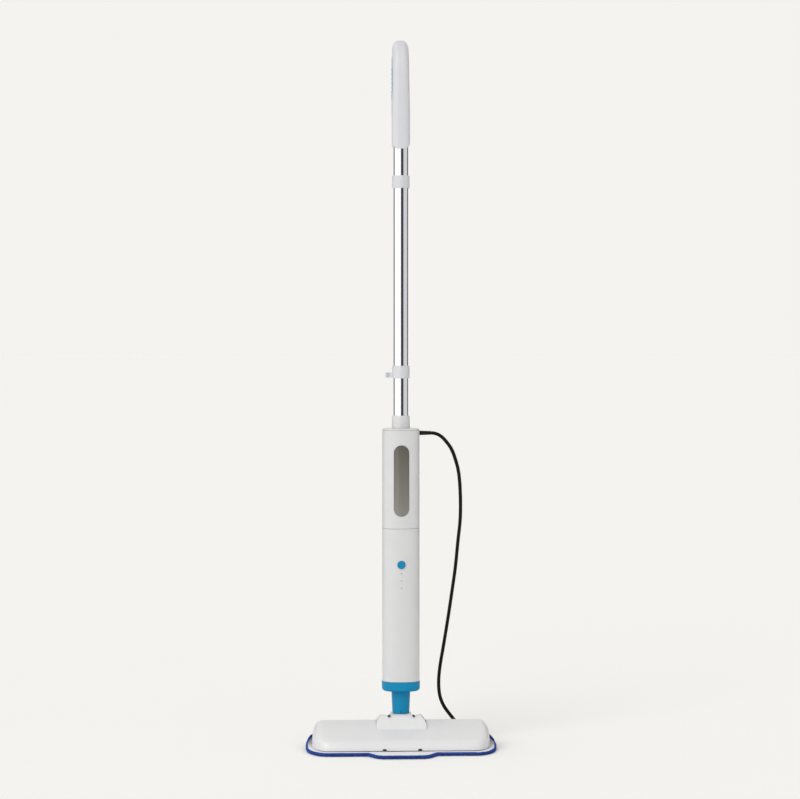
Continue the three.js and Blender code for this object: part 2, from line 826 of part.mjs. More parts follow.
// ---------------------------------------------------------------------------------------------
// Mains cord
// ---------------------------------------------------------------------------------------------

// From the gland it swings out to the right, hangs down behind the head and lands by the coil.
const CORD_ROUTE = [
  [GLAND.end + GAP, 0, 535.5],
  [56, 0, 535.4],
  [60, 0.4, 534.4],
  [65.2, 1.3, 532],
  [70.6, 2.6, 527.9],
  [75.6, 4.3, 522.4],
  [86, 9, 508.5],
  [94, 16, 488],
  [99.5, 24, 467.5],
  [103.5, 38, 426],
  [104, 50, 385],
  [101, 61, 348],
  [97, 72, 299],
  [91, 82, 251],
  [86, 88, 214],
  [78, 93, 162],
  [71.5, 95, 122],
  [69.8, 95.5, 96],
  [72, 95.5, 74],
  [79, 95.5, 56.5],
  [90, 96, 41.5],
  [100.5, 97.8, 28],
  [109.1, 103.2, 17.5],
  [116, 110.9, 10],
  [121.2, 119.9, 5.5],
];

function cordGland() {
  const { start, end, z } = GLAND;
  return alongX(turned([
    [0, start],
    [3.7, start],
    [3.7, 33],
    [3.3, end],
    [0, end],
  ], 16)).translate(0, 0, z);
}

// The stored length, as one long-sided ring of the coil's size.
function cordCoil() {
  const { x, y, halfStraight, innerRadius, outerRadius, height } = COIL;
  const outer = ovalEndedShape(halfStraight + outerRadius, outerRadius, outerRadius);
  const inner = ovalEndedShape(halfStraight + innerRadius, innerRadius, innerRadius);
  return cut(prismZ(outer, 0, height, 14), prismZ(inner, -1, height + 1, 10)).translate(x, y, 0);
}

// Carries a piece built along +X from the origin to the line on which the cord leaves the coil's
// left-hand end for its plug.
function placeOnTail(geometry) {
  const turn = radians(PLUG.turn);
  const x = COIL.x - COIL.halfStraight + COIL.tailRadius * Math.cos(turn);
  const y = COIL.y + COIL.tailRadius * Math.sin(turn);
  return geometry.rotateZ(turn + Math.PI / 2).translate(x, y, PLUG.thickness / 2 + 0.5);
}

function plugBody() {
  const { tailStart, reliefLength, length, width, thickness } = PLUG;
  const start = tailStart + reliefLength;
  const relief = alongX(turned([
    [0, tailStart],
    [3.6, tailStart],
    [6, start],
    [6, start + 3],
    [0, start + 3],
  ], 14));
  const outline = new THREE.Shape();
  outline.moveTo(start, -7);
  outline.bezierCurveTo(start + 8, -7, start + 10, -width / 2, start + 18, -width / 2);
  outline.lineTo(start + length, -width / 2 + 2);
  outline.lineTo(start + length, width / 2 - 2);
  outline.lineTo(start + 18, width / 2);
  outline.bezierCurveTo(start + 10, width / 2, start + 8, 7, start, 7);
  const block = prismZ(outline, -thickness / 2, thickness / 2, 4);
  const pinHoles = [-1, 1].map((side) => plugPinShape(side, 2 + GAP, start + length - 8, start + length + 5));
  return placeOnTail(cut(join(relief, block), ...pinHoles));
}

function plugPinShape(side, radius, x0, x1) {
  return alongX(rod(radius, x0, x1, 12)).translate(0, side * 8.7, 0);
}

function plugPin(side) {
  const face = PLUG.tailStart + PLUG.reliefLength + PLUG.length;
  return placeOnTail(plugPinShape(side, 2, face - 7.5, face + 19));
}

// ---------------------------------------------------------------------------------------------
// Assembly
// ---------------------------------------------------------------------------------------------

const mop = new THREE.Group();

function add(name, finish, geometry) {
  const faceted = cleaned(geometry).toNonIndexed();
  faceted.computeVertexNormals();
  const mesh = new THREE.Mesh(faceted, new THREE.MeshStandardMaterial(FINISHES[finish]));
  mesh.name = name;
  mop.add(mesh);
}

add("handle_left_shell", "white_plastic", handleShell(-1));
add("handle_right_shell", "white_plastic", handleShell(1));
add("grip_insert", "blue_grip", common(handleBlock(), gripZone(GAP)));
Object.entries(HANDLE_SCREWS).forEach(([name, place]) => add(name, "steel", handleScrew(place)));
add("upper_tube", "chrome", pipe(POLE.radius, POLE.radius - POLE.wall, POLE.joint + GAP, POLE.top, 32));
add("lower_tube", "chrome", pipe(POLE.radius, POLE.radius - POLE.wall, POLE.foot, POLE.joint, 32));
add("tube_joiner", "black_plastic", pipe(10.9, 8.5, POLE.joint - 30, POLE.joint + 30));
add("upper_hook", "white_plastic", cordHook(HOOK.upperFoot, 0));
add("lower_hook", "white_plastic", cordHook(HOOK.lowerFoot, HOOK.lowerTurn));

add("neck_collar", "white_plastic", neckCollar());
add("top_lid", "white_plastic", topLid());
add("tank_housing", "white_plastic", tankHousing());
add("tank_window", "grey_window", tankWindow());
add("water_tank", "clear_tank", waterTank());
add("filler_cap", "white_plastic", fillerCap());
add("filler_seal", "black_rubber", fillerSeal());
add("filler_pin", "steel", hingeRod(0.9, FILLER.earOuter));

add("lower_housing_front", "white_plastic", lowerHousing(-1));
add("lower_housing_rear", "white_plastic", lowerHousing(1));
add("power_button", "blue_plastic", powerButton());
add("button_bezel", "white_plastic", buttonBezel());
add("button_spring", "steel", buttonSpring());
add("tact_switch", "black_plastic", box(-3, 3, -22.4, -20.3, BUTTON.z - 3, BUTTON.z + 3));
LIGHT_HEIGHTS.forEach((z, i) => add(`led_lens_${i + 1}`, "grey_lens", lightLens(z)));
add("control_board", "green_board", box(-19, 19, -20, -18.4, 262, 332));
add("pump", "black_plastic", pump());
add("inlet_hose", "silicone", hose([[0, 0, 380.7], [0, 1, 372], [0, 5, 362], [0, 6, 354.3]], 2.5, 8));
add("boiler", "aluminium", boiler());
add("thermostat", "steel", rod(5, 214.3, 220, 16).translate(9.5, 0, 0));
add("water_hose", "silicone", hose([[0, 6, 287.7], [0, 5, 272], [0, 1, 240], [0, 0, 222.3]], 2.5, 8));
add("steam_hose", "silicone", hose([[0, 0, 137.7], [0, 0, 120], [0, 0, 100], [0, 0, 80]], 4, 6));
add("terminal_block", "silicone", box(17, 25, -7, 7, 521, 530));
add("base_cap", "blue_plastic", baseCap());
add("stem", "blue_plastic", stem());
add("stem_knuckle", "white_plastic", stemKnuckle());
add("roll_pin", "steel", rollPin());

add("hinge_yoke", "black_plastic", hingeYoke());

add("pitch_pin_left", "steel", pitchPinShape(-1, 3.5, 10.5, 31));
add("pitch_pin_right", "steel", pitchPinShape(1, 3.5, 10.5, 31));
add("hinge_housing", "white_plastic", hingeHousing());
add("head_cover", "white_plastic", headCover());
add("base_plate", "black_plastic", basePlate());
add("steam_gasket", "silicone", steamGasket());
add("steam_chamber", "aluminium", steamChamber());
BASE_SCREWS.forEach((place, i) => add(`base_screw_${i + 1}`, "steel", baseScrew(place)));
add("velcro_front", "hook_tape", box(-118, 118, -50, -44, 6.3, 7.5));
add("velcro_rear", "hook_tape", box(-118, 118, 30, 50, 6.3, 7.5));
add("mop_pad", "pad_fabric", mopPad());

add("cord_gland", "black_plastic", cordGland());
add("power_cord", "black_cord", hose(CORD_ROUTE, CORD_DIAMETER / 2, 44, 8));
add("cord_coil", "black_cord", cordCoil());
add("plug_body", "black_plastic", plugBody());
add("plug_pin_left", "brass", plugPin(-1));
add("plug_pin_right", "brass", plugPin(1));

export default mop;
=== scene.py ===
"""A steam mop standing on its floor pad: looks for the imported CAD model, in metres, +Z up."""
import json
import math
import random

import bpy
import bmesh
from mathutils import Matrix, Vector, noise


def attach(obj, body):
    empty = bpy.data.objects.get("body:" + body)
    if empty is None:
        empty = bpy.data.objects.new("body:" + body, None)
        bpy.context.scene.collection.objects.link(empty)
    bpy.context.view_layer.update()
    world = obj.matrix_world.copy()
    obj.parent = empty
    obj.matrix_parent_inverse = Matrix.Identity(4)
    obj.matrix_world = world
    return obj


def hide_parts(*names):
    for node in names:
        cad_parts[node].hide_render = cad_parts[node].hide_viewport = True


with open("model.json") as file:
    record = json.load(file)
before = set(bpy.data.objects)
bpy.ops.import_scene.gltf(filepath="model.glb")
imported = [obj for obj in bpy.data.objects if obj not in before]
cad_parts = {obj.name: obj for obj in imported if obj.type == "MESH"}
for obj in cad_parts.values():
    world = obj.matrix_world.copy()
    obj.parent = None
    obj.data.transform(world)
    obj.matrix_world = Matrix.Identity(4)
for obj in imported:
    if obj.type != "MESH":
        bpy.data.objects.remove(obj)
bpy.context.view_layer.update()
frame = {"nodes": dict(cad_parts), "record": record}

NODES = frame["nodes"]
MM = 0.001

# ---- Mesh building ----
# Sizes and places are given in millimetres here, and the meshes are in metres.


def new_object(name, data):
    """A new object in the scene."""
    made = bpy.data.objects.new(name, data)
    bpy.context.scene.collection.objects.link(made)
    return made


def mesh_object(name, verts, faces, material, sharp_degrees=35.0):
    """A new mesh piece with outward faces, smooth but for edges sharper than sharp_degrees."""
    mesh = bpy.data.meshes.new(name)
    mesh.from_pydata([(v[0] * MM, v[1] * MM, v[2] * MM) for v in verts], [], faces)
    mesh.validate()
    piece = new_object(name, mesh)
    tidy_mesh(piece, sharp_degrees)
    mesh.materials.append(material)
    return piece


def tidy_mesh(piece, sharp_degrees=35.0):
    """Turns the faces outwards and shades them smooth between the sharp edges."""
    bm = bmesh.new()
    bm.from_mesh(piece.data)
    bmesh.ops.remove_doubles(bm, verts=bm.verts, dist=1e-6)
    bmesh.ops.recalc_face_normals(bm, faces=bm.faces)
    limit = math.radians(sharp_degrees)
    for face in bm.faces:
        face.smooth = True
    for edge in bm.edges:
        edge.smooth = len(edge.link_faces) != 2 or edge.calc_face_angle(0.0) < limit
    bm.to_mesh(piece.data)
    bm.free()


def apply_modifiers(piece):
    """Replaces the piece's mesh with its evaluated one, so that its modifiers are final."""
    graph = bpy.context.evaluated_depsgraph_get()
    final = bpy.data.meshes.new_from_object(piece.evaluated_get(graph), depsgraph=graph)
    piece.modifiers.clear()
    old = piece.data
    piece.data = final
    bpy.data.meshes.remove(old)


def combine(piece, operation, others, sharp_degrees=35.0):
    """Changes the piece by a boolean with other objects, which are removed."""
    for other in others:
        change = piece.modifiers.new("combine", "BOOLEAN")
        change.operation = operation
        change.solver = "EXACT"
        change.object = other
    apply_modifiers(piece)
    for other in others:
        bpy.data.objects.remove(other)
    tidy_mesh(piece, sharp_degrees)


def cut_away(piece, cutters, sharp_degrees=35.0):
    """Cuts other objects out of the piece."""
    combine(piece, "DIFFERENCE", cutters, sharp_degrees)


def join_with(piece, others):
    """Makes one closed solid of the piece and the others."""
    combine(piece, "UNION", others)


def common_part(piece, other):
    """Keeps only what the piece shares with the other object."""
    combine(piece, "INTERSECT", [other])


def clamped(value):
    """The value, held between 0 and 1."""
    return min(1.0, max(0.0, value))


def eased(share):
    """A smooth step: level at 0 and at 1."""
    return share * share * (3 - 2 * share)


def signed_power(value, power):
    """A sine or cosine raised to a power with its sign kept, which squares off a round section."""
    return math.copysign(abs(value) ** power, value)


def cubic_weights(t):
    """How much each of a cubic curve's four points counts at t."""
    u = 1 - t
    return (u ** 3, 3 * u * u * t, 3 * u * t * t, t ** 3)


def arc(cx, cy, radius, start, end, steps):
    """Points on a circle between two angles, in degrees."""
    angles = [math.radians(start + (end - start) * i / steps) for i in range(steps + 1)]
    return [(cx + radius * math.cos(a), cy + radius * math.sin(a)) for a in angles]


def rounded_outline(points, radius, steps=4):
    """A closed outline with its corners rounded. A point may carry its own radius as a third number."""
    result = []
    count = len(points)
    for i, point in enumerate(points):
        corner = Vector(point[:2])
        own = point[2] if len(point) > 2 else radius
        before = Vector(points[i - 1][:2]) - corner
        after = Vector(points[(i + 1) % count][:2]) - corner
        turn = math.pi - before.angle(after)
        if own <= 0 or turn < 0.02:
            result.append(tuple(corner))
            continue
        reach = min(own * math.tan(turn / 2), 0.48 * before.length, 0.48 * after.length)
        start = corner + before.normalized() * reach
        end = corner + after.normalized() * reach
        for k in range(steps + 1):
            t = k / steps
            mixed = start * (1 - t) ** 2 + corner * 2 * t * (1 - t) + end * t * t
            result.append(tuple(mixed))
    return result


def turned(name, profile, material, sides=64, sharp_degrees=35.0, closed=False):
    """A turned piece about Z. The profile is a list of (radius, height); a closed one is a ring."""
    verts, faces = [], []
    rings = []
    for radius, height in profile:
        if radius < 1e-7:
            rings.append([len(verts)])
            verts.append((0.0, 0.0, height))
            continue
        rings.append(list(range(len(verts), len(verts) + sides)))
        for k in range(sides):
            angle = 2 * math.pi * k / sides
            verts.append((radius * math.cos(angle), radius * math.sin(angle), height))
    pairs = list(zip(rings, rings[1:]))
    if closed:
        pairs.append((rings[-1], rings[0]))
    for low, high in pairs:
        for k in range(sides):
            nxt = (k + 1) % sides
            quad = [low[k % len(low)], low[nxt % len(low)], high[nxt % len(high)], high[k % len(high)]]
            face = list(dict.fromkeys(quad))
            if len(face) > 2:
                faces.append(face)
    return mesh_object(name, verts, faces, material, sharp_degrees)


def lofted(name, rings, material, closed=False, capped=True, sharp_degrees=35.0):
    """Joins closed rings of as many points each. Its ends are capped, or it closes on itself."""
    count = len(rings[0])
    verts = [point for ring in rings for point in ring]
    faces = []
    total = len(rings)
    last = total if closed else total - 1
    for r in range(last):
        low, high = r * count, ((r + 1) % total) * count
        for k in range(count):
            nxt = (k + 1) % count
            faces.append([low + k, low + nxt, high + nxt, high + k])
    if capped and not closed:
        faces.append(list(range(count))[::-1])
        faces.append(list(range((total - 1) * count, total * count)))
    return mesh_object(name, verts, faces, material, sharp_degrees)


def turn_to_y(piece):
    """Turns a piece built along Z so that its height runs along +Y."""
    piece.data.transform(Matrix.Rotation(-math.pi / 2, 4, "X"))
    return piece


def turn_to_x(piece):
    """Turns a piece built along Z so that its height runs along +X."""
    piece.data.transform(Matrix.Rotation(math.pi / 2, 4, "Y"))
    return piece


def shifted(piece, x=0.0, y=0.0, z=0.0):
    """Moves a piece's mesh."""
    piece.data.transform(Matrix.Translation((x * MM, y * MM, z * MM)))
    return piece


def prism(name, outline, low, high, axis, material, edge=0.0, edge_steps=3):
    """A closed outline extruded along an axis, with its two rims rounded in by edge, or flared
    when it is negative. The outline is in (x, y) for Z, in (x, z) for Y and in (y, z) for X."""
    places = {"Z": lambda a, b, c: (a, b, c), "Y": lambda a, b, c: (a, c, b), "X": lambda a, b, c: (c, a, b)}
    place = places[axis]
    stations = [(low, 0.0), (high, 0.0)]
    if edge:
        steps = [math.radians(90 * k / edge_steps) for k in range(edge_steps + 1)]
        first = [(low + edge * (1 - math.sin(a)), edge * (1 - math.cos(a))) for a in reversed(steps)]
        second = [(high - edge * (1 - math.sin(a)), edge * (1 - math.cos(a))) for a in steps]
        stations = first + second
    rings = []
    for level, inset in stations:
        rings.append([place(a, b, level) for a, b in inset_outline(outline, inset)])
    return lofted(name, rings, material)


def inset_outline(outline, inset):
    """The outline drawn inwards by an inset, or by one for each of its points."""
    count = len(outline)
    insets = inset if isinstance(inset, list) else [inset] * count
    area = sum(outline[i - 1][0] * outline[i][1] - outline[i][0] * outline[i - 1][1] for i in range(count))
    side = 1 if area > 0 else -1
    result = []
    for i in range(count):
        here = Vector(outline[i])
        before = (here - Vector(outline[i - 1])).normalized()
        after = (Vector(outline[(i + 1) % count]) - here).normalized()
        normal = Vector((-(before.y + after.y), before.x + after.x)) * side
        length = normal.length
        if length < 1e-9:
            result.append(tuple(here))
            continue
        stretch = min(2.0 / length, 3.0)
        result.append(tuple(here + normal / length * insets[i] * stretch))
    return result


def smooth_line(points, per_span=8):
    """A centripetal Catmull-Rom line through the points."""
    line = []
    last = len(points) - 1
    for i in range(last):
        p0, p1 = Vector(points[max(i - 1, 0)]), Vector(points[i])
        p2, p3 = Vector(points[i + 1]), Vector(points[min(i + 2, last)])
        if i == 0:
            p0 = p1 * 2 - p2
        if i + 2 > last:
            p3 = p2 * 2 - p1
        t0, t1 = 0.0, math.sqrt((p1 - p0).length)
        t2 = t1 + math.sqrt((p2 - p1).length)
        t3 = t2 + math.sqrt((p3 - p2).length)
        for k in range(per_span):
            t = t1 + (t2 - t1) * k / per_span
            a1 = p0 * ((t1 - t) / (t1 - t0)) + p1 * ((t - t0) / (t1 - t0))
            a2 = p1 * ((t2 - t) / (t2 - t1)) + p2 * ((t - t1) / (t2 - t1))
            a3 = p2 * ((t3 - t) / (t3 - t2)) + p3 * ((t - t2) / (t3 - t2))
            b1 = a1 * ((t2 - t) / (t2 - t0)) + a2 * ((t - t0) / (t2 - t0))
            b2 = a2 * ((t3 - t) / (t3 - t1)) + a3 * ((t - t1) / (t3 - t1))
            line.append(b1 * ((t2 - t) / (t2 - t1)) + b2 * ((t - t1) / (t2 - t1)))
    line.append(Vector(points[-1]))
    return line


def evened(line, step, passes):
    """The line with its points at even steps, its curvature spread a little and its ends kept."""
    even = [line[0]]
    carried = 0.0
    for a, b in zip(line, line[1:]):
        length = (b - a).length
        while length > 0 and carried + length >= step:
            a = a.lerp(b, (step - carried) / length)
            even.append(a)
            length = (b - a).length
            carried = 0.0
        carried += length
    even.append(line[-1])
    for _ in range(passes):
        inner = [(a + b * 2 + c) / 4 for a, b, c in zip(even, even[1:], even[2:])]
        even = [even[0], *inner, even[-1]]
    return even


def softened(piece, voxel, passes, factor=0.5):
    """Rounds every edge of a solid a little, as moulded plastic is: an even mesh, then smoothed."""
    remesh = piece.modifiers.new("even mesh", "REMESH")
    remesh.mode = "VOXEL"
    remesh.voxel_size = voxel * MM
    smooth = piece.modifiers.new("rounding", "SMOOTH")
    smooth.factor = factor
    smooth.iterations = passes
    apply_modifiers(piece)
    tidy_mesh(piece, 180)
    return piece


def bezier(p0, p1, p2, p3, steps):
    """Points along a cubic curve, without its last one."""
    points = []
    for i in range(steps):
        w = cubic_weights(i / steps)
        points.append(tuple(
            w[0] * a + w[1] * b + w[2] * c + w[3] * d for a, b, c, d in zip(p0, p1, p2, p3)
        ))
    return points


def straight(p0, p1, steps):
    """Points along a straight line, without its last one."""
    return [tuple(a + (b - a) * i / steps for a, b in zip(p0, p1)) for i in range(steps)]


# ---- Materials ----


class Surface:
    """A material whose colour, roughness and relief come from noise in the part's own space."""

    def __init__(self, name, colour, roughness, metallic=0.0, stretch=(1, 1, 1)):
        """A plain surface, with its own coordinates that may be stretched."""
        self.material = bpy.data.materials.new(name)
        self.material.use_nodes = True
        self.nodes = self.material.node_tree.nodes
        self.links = self.material.node_tree.links
        self.shader = self.nodes["Principled BSDF"]
        self.colour = colour
        self.shader.inputs["Base Color"].default_value = (*colour, 1)
        self.shader.inputs["Roughness"].default_value = roughness
        self.shader.inputs["Metallic"].default_value = metallic
        place = self.nodes.new("ShaderNodeTexCoord")
        self.place = self.nodes.new("ShaderNodeMapping")
        self.place.inputs["Scale"].default_value = stretch
        self.links.new(place.outputs["Object"], self.place.inputs["Vector"])
        self.height = None

    def noise(self, scale, detail=2.0, distortion=0.0):
        """Soft noise between 0 and 1."""
        node = self.nodes.new("ShaderNodeTexNoise")
        node.inputs["Scale"].default_value = scale
        node.inputs["Detail"].default_value = detail
        node.inputs["Distortion"].default_value = distortion
        self.links.new(self.place.outputs["Vector"], node.inputs["Vector"])
        return node.outputs["Fac"]

    def remap(self, value, low, high, start=0.3, end=0.7):
        """Spreads a value's range from start to end over the one from low to high."""
        node = self.nodes.new("ShaderNodeMapRange")
        node.inputs["From Min"].default_value = start
        node.inputs["From Max"].default_value = end
        node.inputs["To Min"].default_value = low
        node.inputs["To Max"].default_value = high
        self.links.new(value, node.inputs["Value"])
        return node.outputs["Result"]

    def ramp(self, value, stops):
        """The colour that a value picks between stops of (position, colour)."""
        node = self.nodes.new("ShaderNodeValToRGB")
        ramp = node.color_ramp
        while len(ramp.elements) < len(stops):
            ramp.elements.new(0.5)
        for element, (position, colour) in zip(ramp.elements, stops):
            element.position = position
            element.color = (*colour, 1)
        self.links.new(value, node.inputs["Fac"])
        return node.outputs["Color"]

    def mottle(self, scale, amount, detail=3.0):
        """Lets the colour drift a little darker and lighter."""
        dark = tuple(c * (1 - amount) for c in self.colour)
        light = tuple(min(1.0, c * (1 + amount)) for c in self.colour)
        colour = self.ramp(self.noise(scale, detail), [(0.3, dark), (0.7, light)])
        self.links.new(colour, self.shader.inputs["Base Color"])
        return self

    def uneven_gloss(self, scale, low, high):
        """Lets the roughness drift between two values."""
        self.links.new(self.remap(self.noise(scale, 3.0), low, high), self.shader.inputs["Roughness"])
        return self

    def relief(self, value, depth, strength=1.0):
        """Adds a bump of the given depth, in millimetres, on top of any earlier one."""
        bump = self.nodes.new("ShaderNodeBump")
        bump.inputs["Strength"].default_value = strength
        bump.inputs["Distance"].default_value = depth * MM
        self.links.new(value, bump.inputs["Height"])
        if self.height is not None:
            self.links.new(self.height, bump.inputs["Normal"])
        self.height = bump.outputs["Normal"]
        self.links.new(self.height, self.shader.inputs["Normal"])
        return self

    def grain(self, scale, depth, strength=1.0):
        """Adds a fine bump from noise."""
        return self.relief(self.noise(scale, 3.0), depth, strength)

    def set(self, **values):
        """Sets the shader's own sockets. An underscore stands for a space."""
        for name, value in values.items():
            self.shader.inputs[name.replace("_", " ")].default_value = value
        return self


def moulded(name, colour, roughness, grain_scale=1500, grain_depth=0.02, mottle=0.012, specular=0.5):
    """Moulded plastic: a fine spark-eroded grain and slightly uneven gloss."""
    surface = Surface(name, colour, roughness)
    surface.mottle(35, mottle)
    surface.uneven_gloss(60, roughness - 0.04, roughness + 0.05)
    surface.grain(grain_scale, grain_depth, 0.35)
    surface.relief(surface.noise(14, 1.0), 0.25, 0.12)
    surface.set(Specular_IOR_Level=specular)
    return surface.material


def chrome_plate():
    """Bright plating on drawn tube, with a faint lengthwise draw."""
    surface = Surface("chrome plate", (0.95, 0.95, 0.965), 0.07, metallic=1.0, stretch=(1, 1, 0.02))
    surface.mottle(300, 0.012)
    surface.uneven_gloss(500, 0.05, 0.1)
    surface.grain(1600, 0.002, 0.1)
    return surface.material


def plain_metal(name, colour, roughness):
    """Machined or cast metal of small hidden fittings."""
    surface = Surface(name, colour, roughness, metallic=1.0)
    surface.mottle(120, 0.05)
    surface.uneven_gloss(200, roughness - 0.06, roughness + 0.08)
    surface.grain(900, 0.02, 0.3)
    return surface.material


def soft_rubber(name, colour, roughness):
    """Rubber or silicone: a matt skin with a fine grain and a little sheen."""
    surface = Surface(name, colour, roughness)
    surface.mottle(60, 0.05)
    surface.uneven_gloss(150, roughness - 0.05, roughness + 0.05)
    surface.grain(2200, 0.03, 0.4)
    surface.set(Sheen_Weight=0.15, Sheen_Roughness=0.5)
    return surface.material


def smoked_window():
    """See-through smoked plastic, its colour darkening towards the top as painted shade of the dim tank
    behind it.
    """
    surface = Surface("smoked window", (0.22, 0.21, 0.19), 0.12)
    # Painted shade: the colour runs from lighter at the window's foot to darker at its top.
    height = surface.nodes.new("ShaderNodeSeparateXYZ")
    surface.links.new(surface.place.outputs["Vector"], height.inputs["Vector"])
    level = surface.remap(height.outputs["Z"], 0.0, 1.0, 0.4, 0.51)
    colour = surface.ramp(level, [(0.0, (0.34, 0.325, 0.3)), (1.0, (0.18, 0.17, 0.145))])
    surface.links.new(colour, surface.shader.inputs["Base Color"])
    surface.uneven_gloss(40, 0.1, 0.16)
    surface.relief(surface.noise(18, 1.0), 0.2, 0.1)
    surface.set(Transmission_Weight=0.35, IOR=1.49)
    return surface.material


def natural_tank():
    """Milky translucent tank plastic."""
    surface = Surface("natural tank plastic", (0.62, 0.64, 0.65), 0.3)
    surface.mottle(30, 0.05)
    surface.uneven_gloss(60, 0.25, 0.35)
    surface.grain(700, 0.02, 0.3)
    surface.set(Transmission_Weight=0.3, IOR=1.49)
    return surface.material


def cord_sheath():
    """Extruded flexible sheath: near black, with a fine grain and little gloss."""
    surface = Surface("cord sheath", (0.006, 0.006, 0.0065), 0.5)
    surface.mottle(120, 0.25)
    surface.uneven_gloss(90, 0.45, 0.58)
    surface.grain(1800, 0.03, 0.4)
    surface.set(Specular_IOR_Level=0.12)
    return surface.material


def microfibre_pile():
    """Looped microfibre: the blue drifts from tuft to tuft, with a velvet sheen."""
    surface = Surface("microfibre pile", (0.012, 0.045, 0.28), 0.95)
    colour = surface.ramp(surface.noise(420, 4.0, 0.6), [
        (0.28, (0.005, 0.02, 0.15)),
        (0.5, (0.014, 0.055, 0.32)),
        (0.74, (0.045, 0.13, 0.52)),
    ])
    surface.links.new(colour, surface.shader.inputs["Base Color"])
    surface.uneven_gloss(200, 0.85, 1.0)
    surface.grain(900, 0.5, 0.8)
    surface.set(Sheen_Weight=0.35, Sheen_Roughness=0.4, Sheen_Tint=(0.25, 0.4, 0.9, 1))
    return surface.material


def woven(name, colour, pitch, depth, drift=0.08):
    """A plain weave with threads at the given pitch, in millimetres."""
    surface = Surface(name, colour, 0.9)
    waves = []
    for direction in ("X", "Y"):
        wave = surface.nodes.new("ShaderNodeTexWave")
        wave.bands_direction = direction
        wave.inputs["Scale"].default_value = 1000 / pitch / 20
        wave.inputs["Distortion"].default_value = 0.6
        wave.inputs["Detail"].default_value = 1.0
        wave.inputs["Detail Scale"].default_value = 2.0
        surface.links.new(surface.place.outputs["Vector"], wave.inputs["Vector"])
        waves.append(wave.outputs["Fac"])
    both = surface.nodes.new("ShaderNodeMath")
    both.operation = "MULTIPLY"
    surface.links.new(waves[0], both.inputs[0])
    surface.links.new(waves[1], both.inputs[1])
    surface.mottle(90, drift)
    surface.uneven_gloss(80, 0.82, 0.96)
    surface.relief(both.outputs["Value"], depth, 0.7)
    surface.grain(1500, 0.06, 0.5)
    surface.set(Sheen_Weight=0.2, Sheen_Roughness=0.5)
    return surface.material


WHITE = moulded("white housing plastic", (0.615, 0.617, 0.637), 0.36)
COOL_WHITE = moulded("white handle plastic", (0.61, 0.617, 0.665), 0.38)
# The body's white plastic made lighter for the floor head and its hinge housing: painted light standing in
# for the stronger light the head gets.
HEAD_WHITE_PAINTED_LIGHTER = moulded("white head plastic painted lighter", (0.702, 0.704, 0.727), 0.34)
BLUE = moulded("blue plastic", (0.002, 0.222, 0.43), 0.36, specular=0.16)
BLACK = moulded("black plastic", (0.006, 0.006, 0.007), 0.5, 1200, 0.04, 0.1, specular=0.2)
GRIP = soft_rubber("soft blue grip", (0.035, 0.3, 0.42), 0.6)
CHROME = chrome_plate()
WINDOW = smoked_window()
TANK = natural_tank()
LENS = moulded("light lens", (0.42, 0.43, 0.44), 0.2, 2500, 0.01)
STEEL = plain_metal("bright steel", (0.6, 0.61, 0.63), 0.28)
BRASS = plain_metal("brass", (0.66, 0.5, 0.22), 0.25)
CAST = plain_metal("cast aluminium", (0.56, 0.57, 0.58), 0.45)
RUBBER = soft_rubber("black rubber", (0.018, 0.018, 0.018), 0.75)
SILICONE = soft_rubber("silicone", (0.68, 0.66, 0.61), 0.5)
BOARD = moulded("circuit board", (0.012, 0.1, 0.045), 0.35, 900, 0.05, 0.2)
CORD = cord_sheath()
PILE = microfibre_pile()
BACKING = woven("white woven backing", (0.78, 0.79, 0.83), 0.9, 0.25, 0.03)
HOOK_TAPE = woven("hook tape", (0.04, 0.043, 0.048), 1.2, 0.5)

SLOT_MATERIALS = {
    "white_plastic": WHITE,
    "blue_plastic": BLUE,
    "blue_grip": GRIP,
    "chrome": CHROME,
    "grey_window": WINDOW,
    "clear_tank": TANK,
    "grey_lens": LENS,
    "black_plastic": BLACK,
    "black_cord": CORD,
    "black_rubber": RUBBER,
    "steel": STEEL,
    "brass": BRASS,
    "aluminium": CAST,
    "green_board": BOARD,
    "silicone": SILICONE,
    "hook_tape": HOOK_TAPE,
    "pad_fabric": PILE,
}

# The CAD nodes that stay in view keep their shapes and take the finish of their slot.
for row in frame["record"]["subparts"]:
    slots = NODES[row["node"]].data.materials
    for i in range(len(slots)):
        slots[i] = SLOT_MATERIALS[row["material_slot"]]


def place_piece(piece, body, slot, *nodes):
    """The piece rides on a body and stands for the CAD nodes named. Its slot is not used."""
    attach(piece, body)
    if nodes:
        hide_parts(*nodes)
    return piece


def place_even(piece, body, slot, node):
    """Places a piece with its large flat faces kept flat where they meet small rounded ones."""
    change = piece.modifiers.new("even shading", "WEIGHTED_NORMAL")
    change.keep_sharp = True
    place_piece(piece, body, slot, node)


def block(x0, x1, y0, y1, z0, z1):
    """A plain block, to cut with or to join on."""
    return prism("cutter", [(x0, y0), (x1, y0), (x1, y1), (x0, y1)], z0, z1, "Z", WHITE)


def rectangle(x0, x1, z0, z1, radius, steps):
    """The outline of a rectangle with rounded corners."""
    return rounded_outline([(x0, z0), (x1, z0), (x1, z1), (x0, z1)], radius, steps)


def round_bar(radius, low, high, sides=48):
    """A plain round bar along Z, to cut with or to join on."""
    return turned("cutter", [(0, low), (radius, low), (radius, high), (0, high)], WHITE, sides)


def bar_along_x(radius, low, high, y, z, sides=48):
    """A plain round bar along X, through y and z."""
    return shifted(turn_to_x(round_bar(radius, low, high, sides)), y=y, z=z)


def bar_along_y(radius, low, high, z, sides=48):
    """A plain round bar along Y, at a height."""
    return shifted(turn_to_y(round_bar(radius, low, high, sides)), z=z)


# ---- Camera, floor and light ----

CAMERA_DISTANCE = 4.0
CAMERA_AZIMUTH = math.radians(-2.5)
CAMERA_HEIGHT = 0.7
CAMERA_LENS = 106.6
CAMERA_SHIFT = -0.00106  # sideways, as a share of the picture
AIM_HEIGHT = 0.592


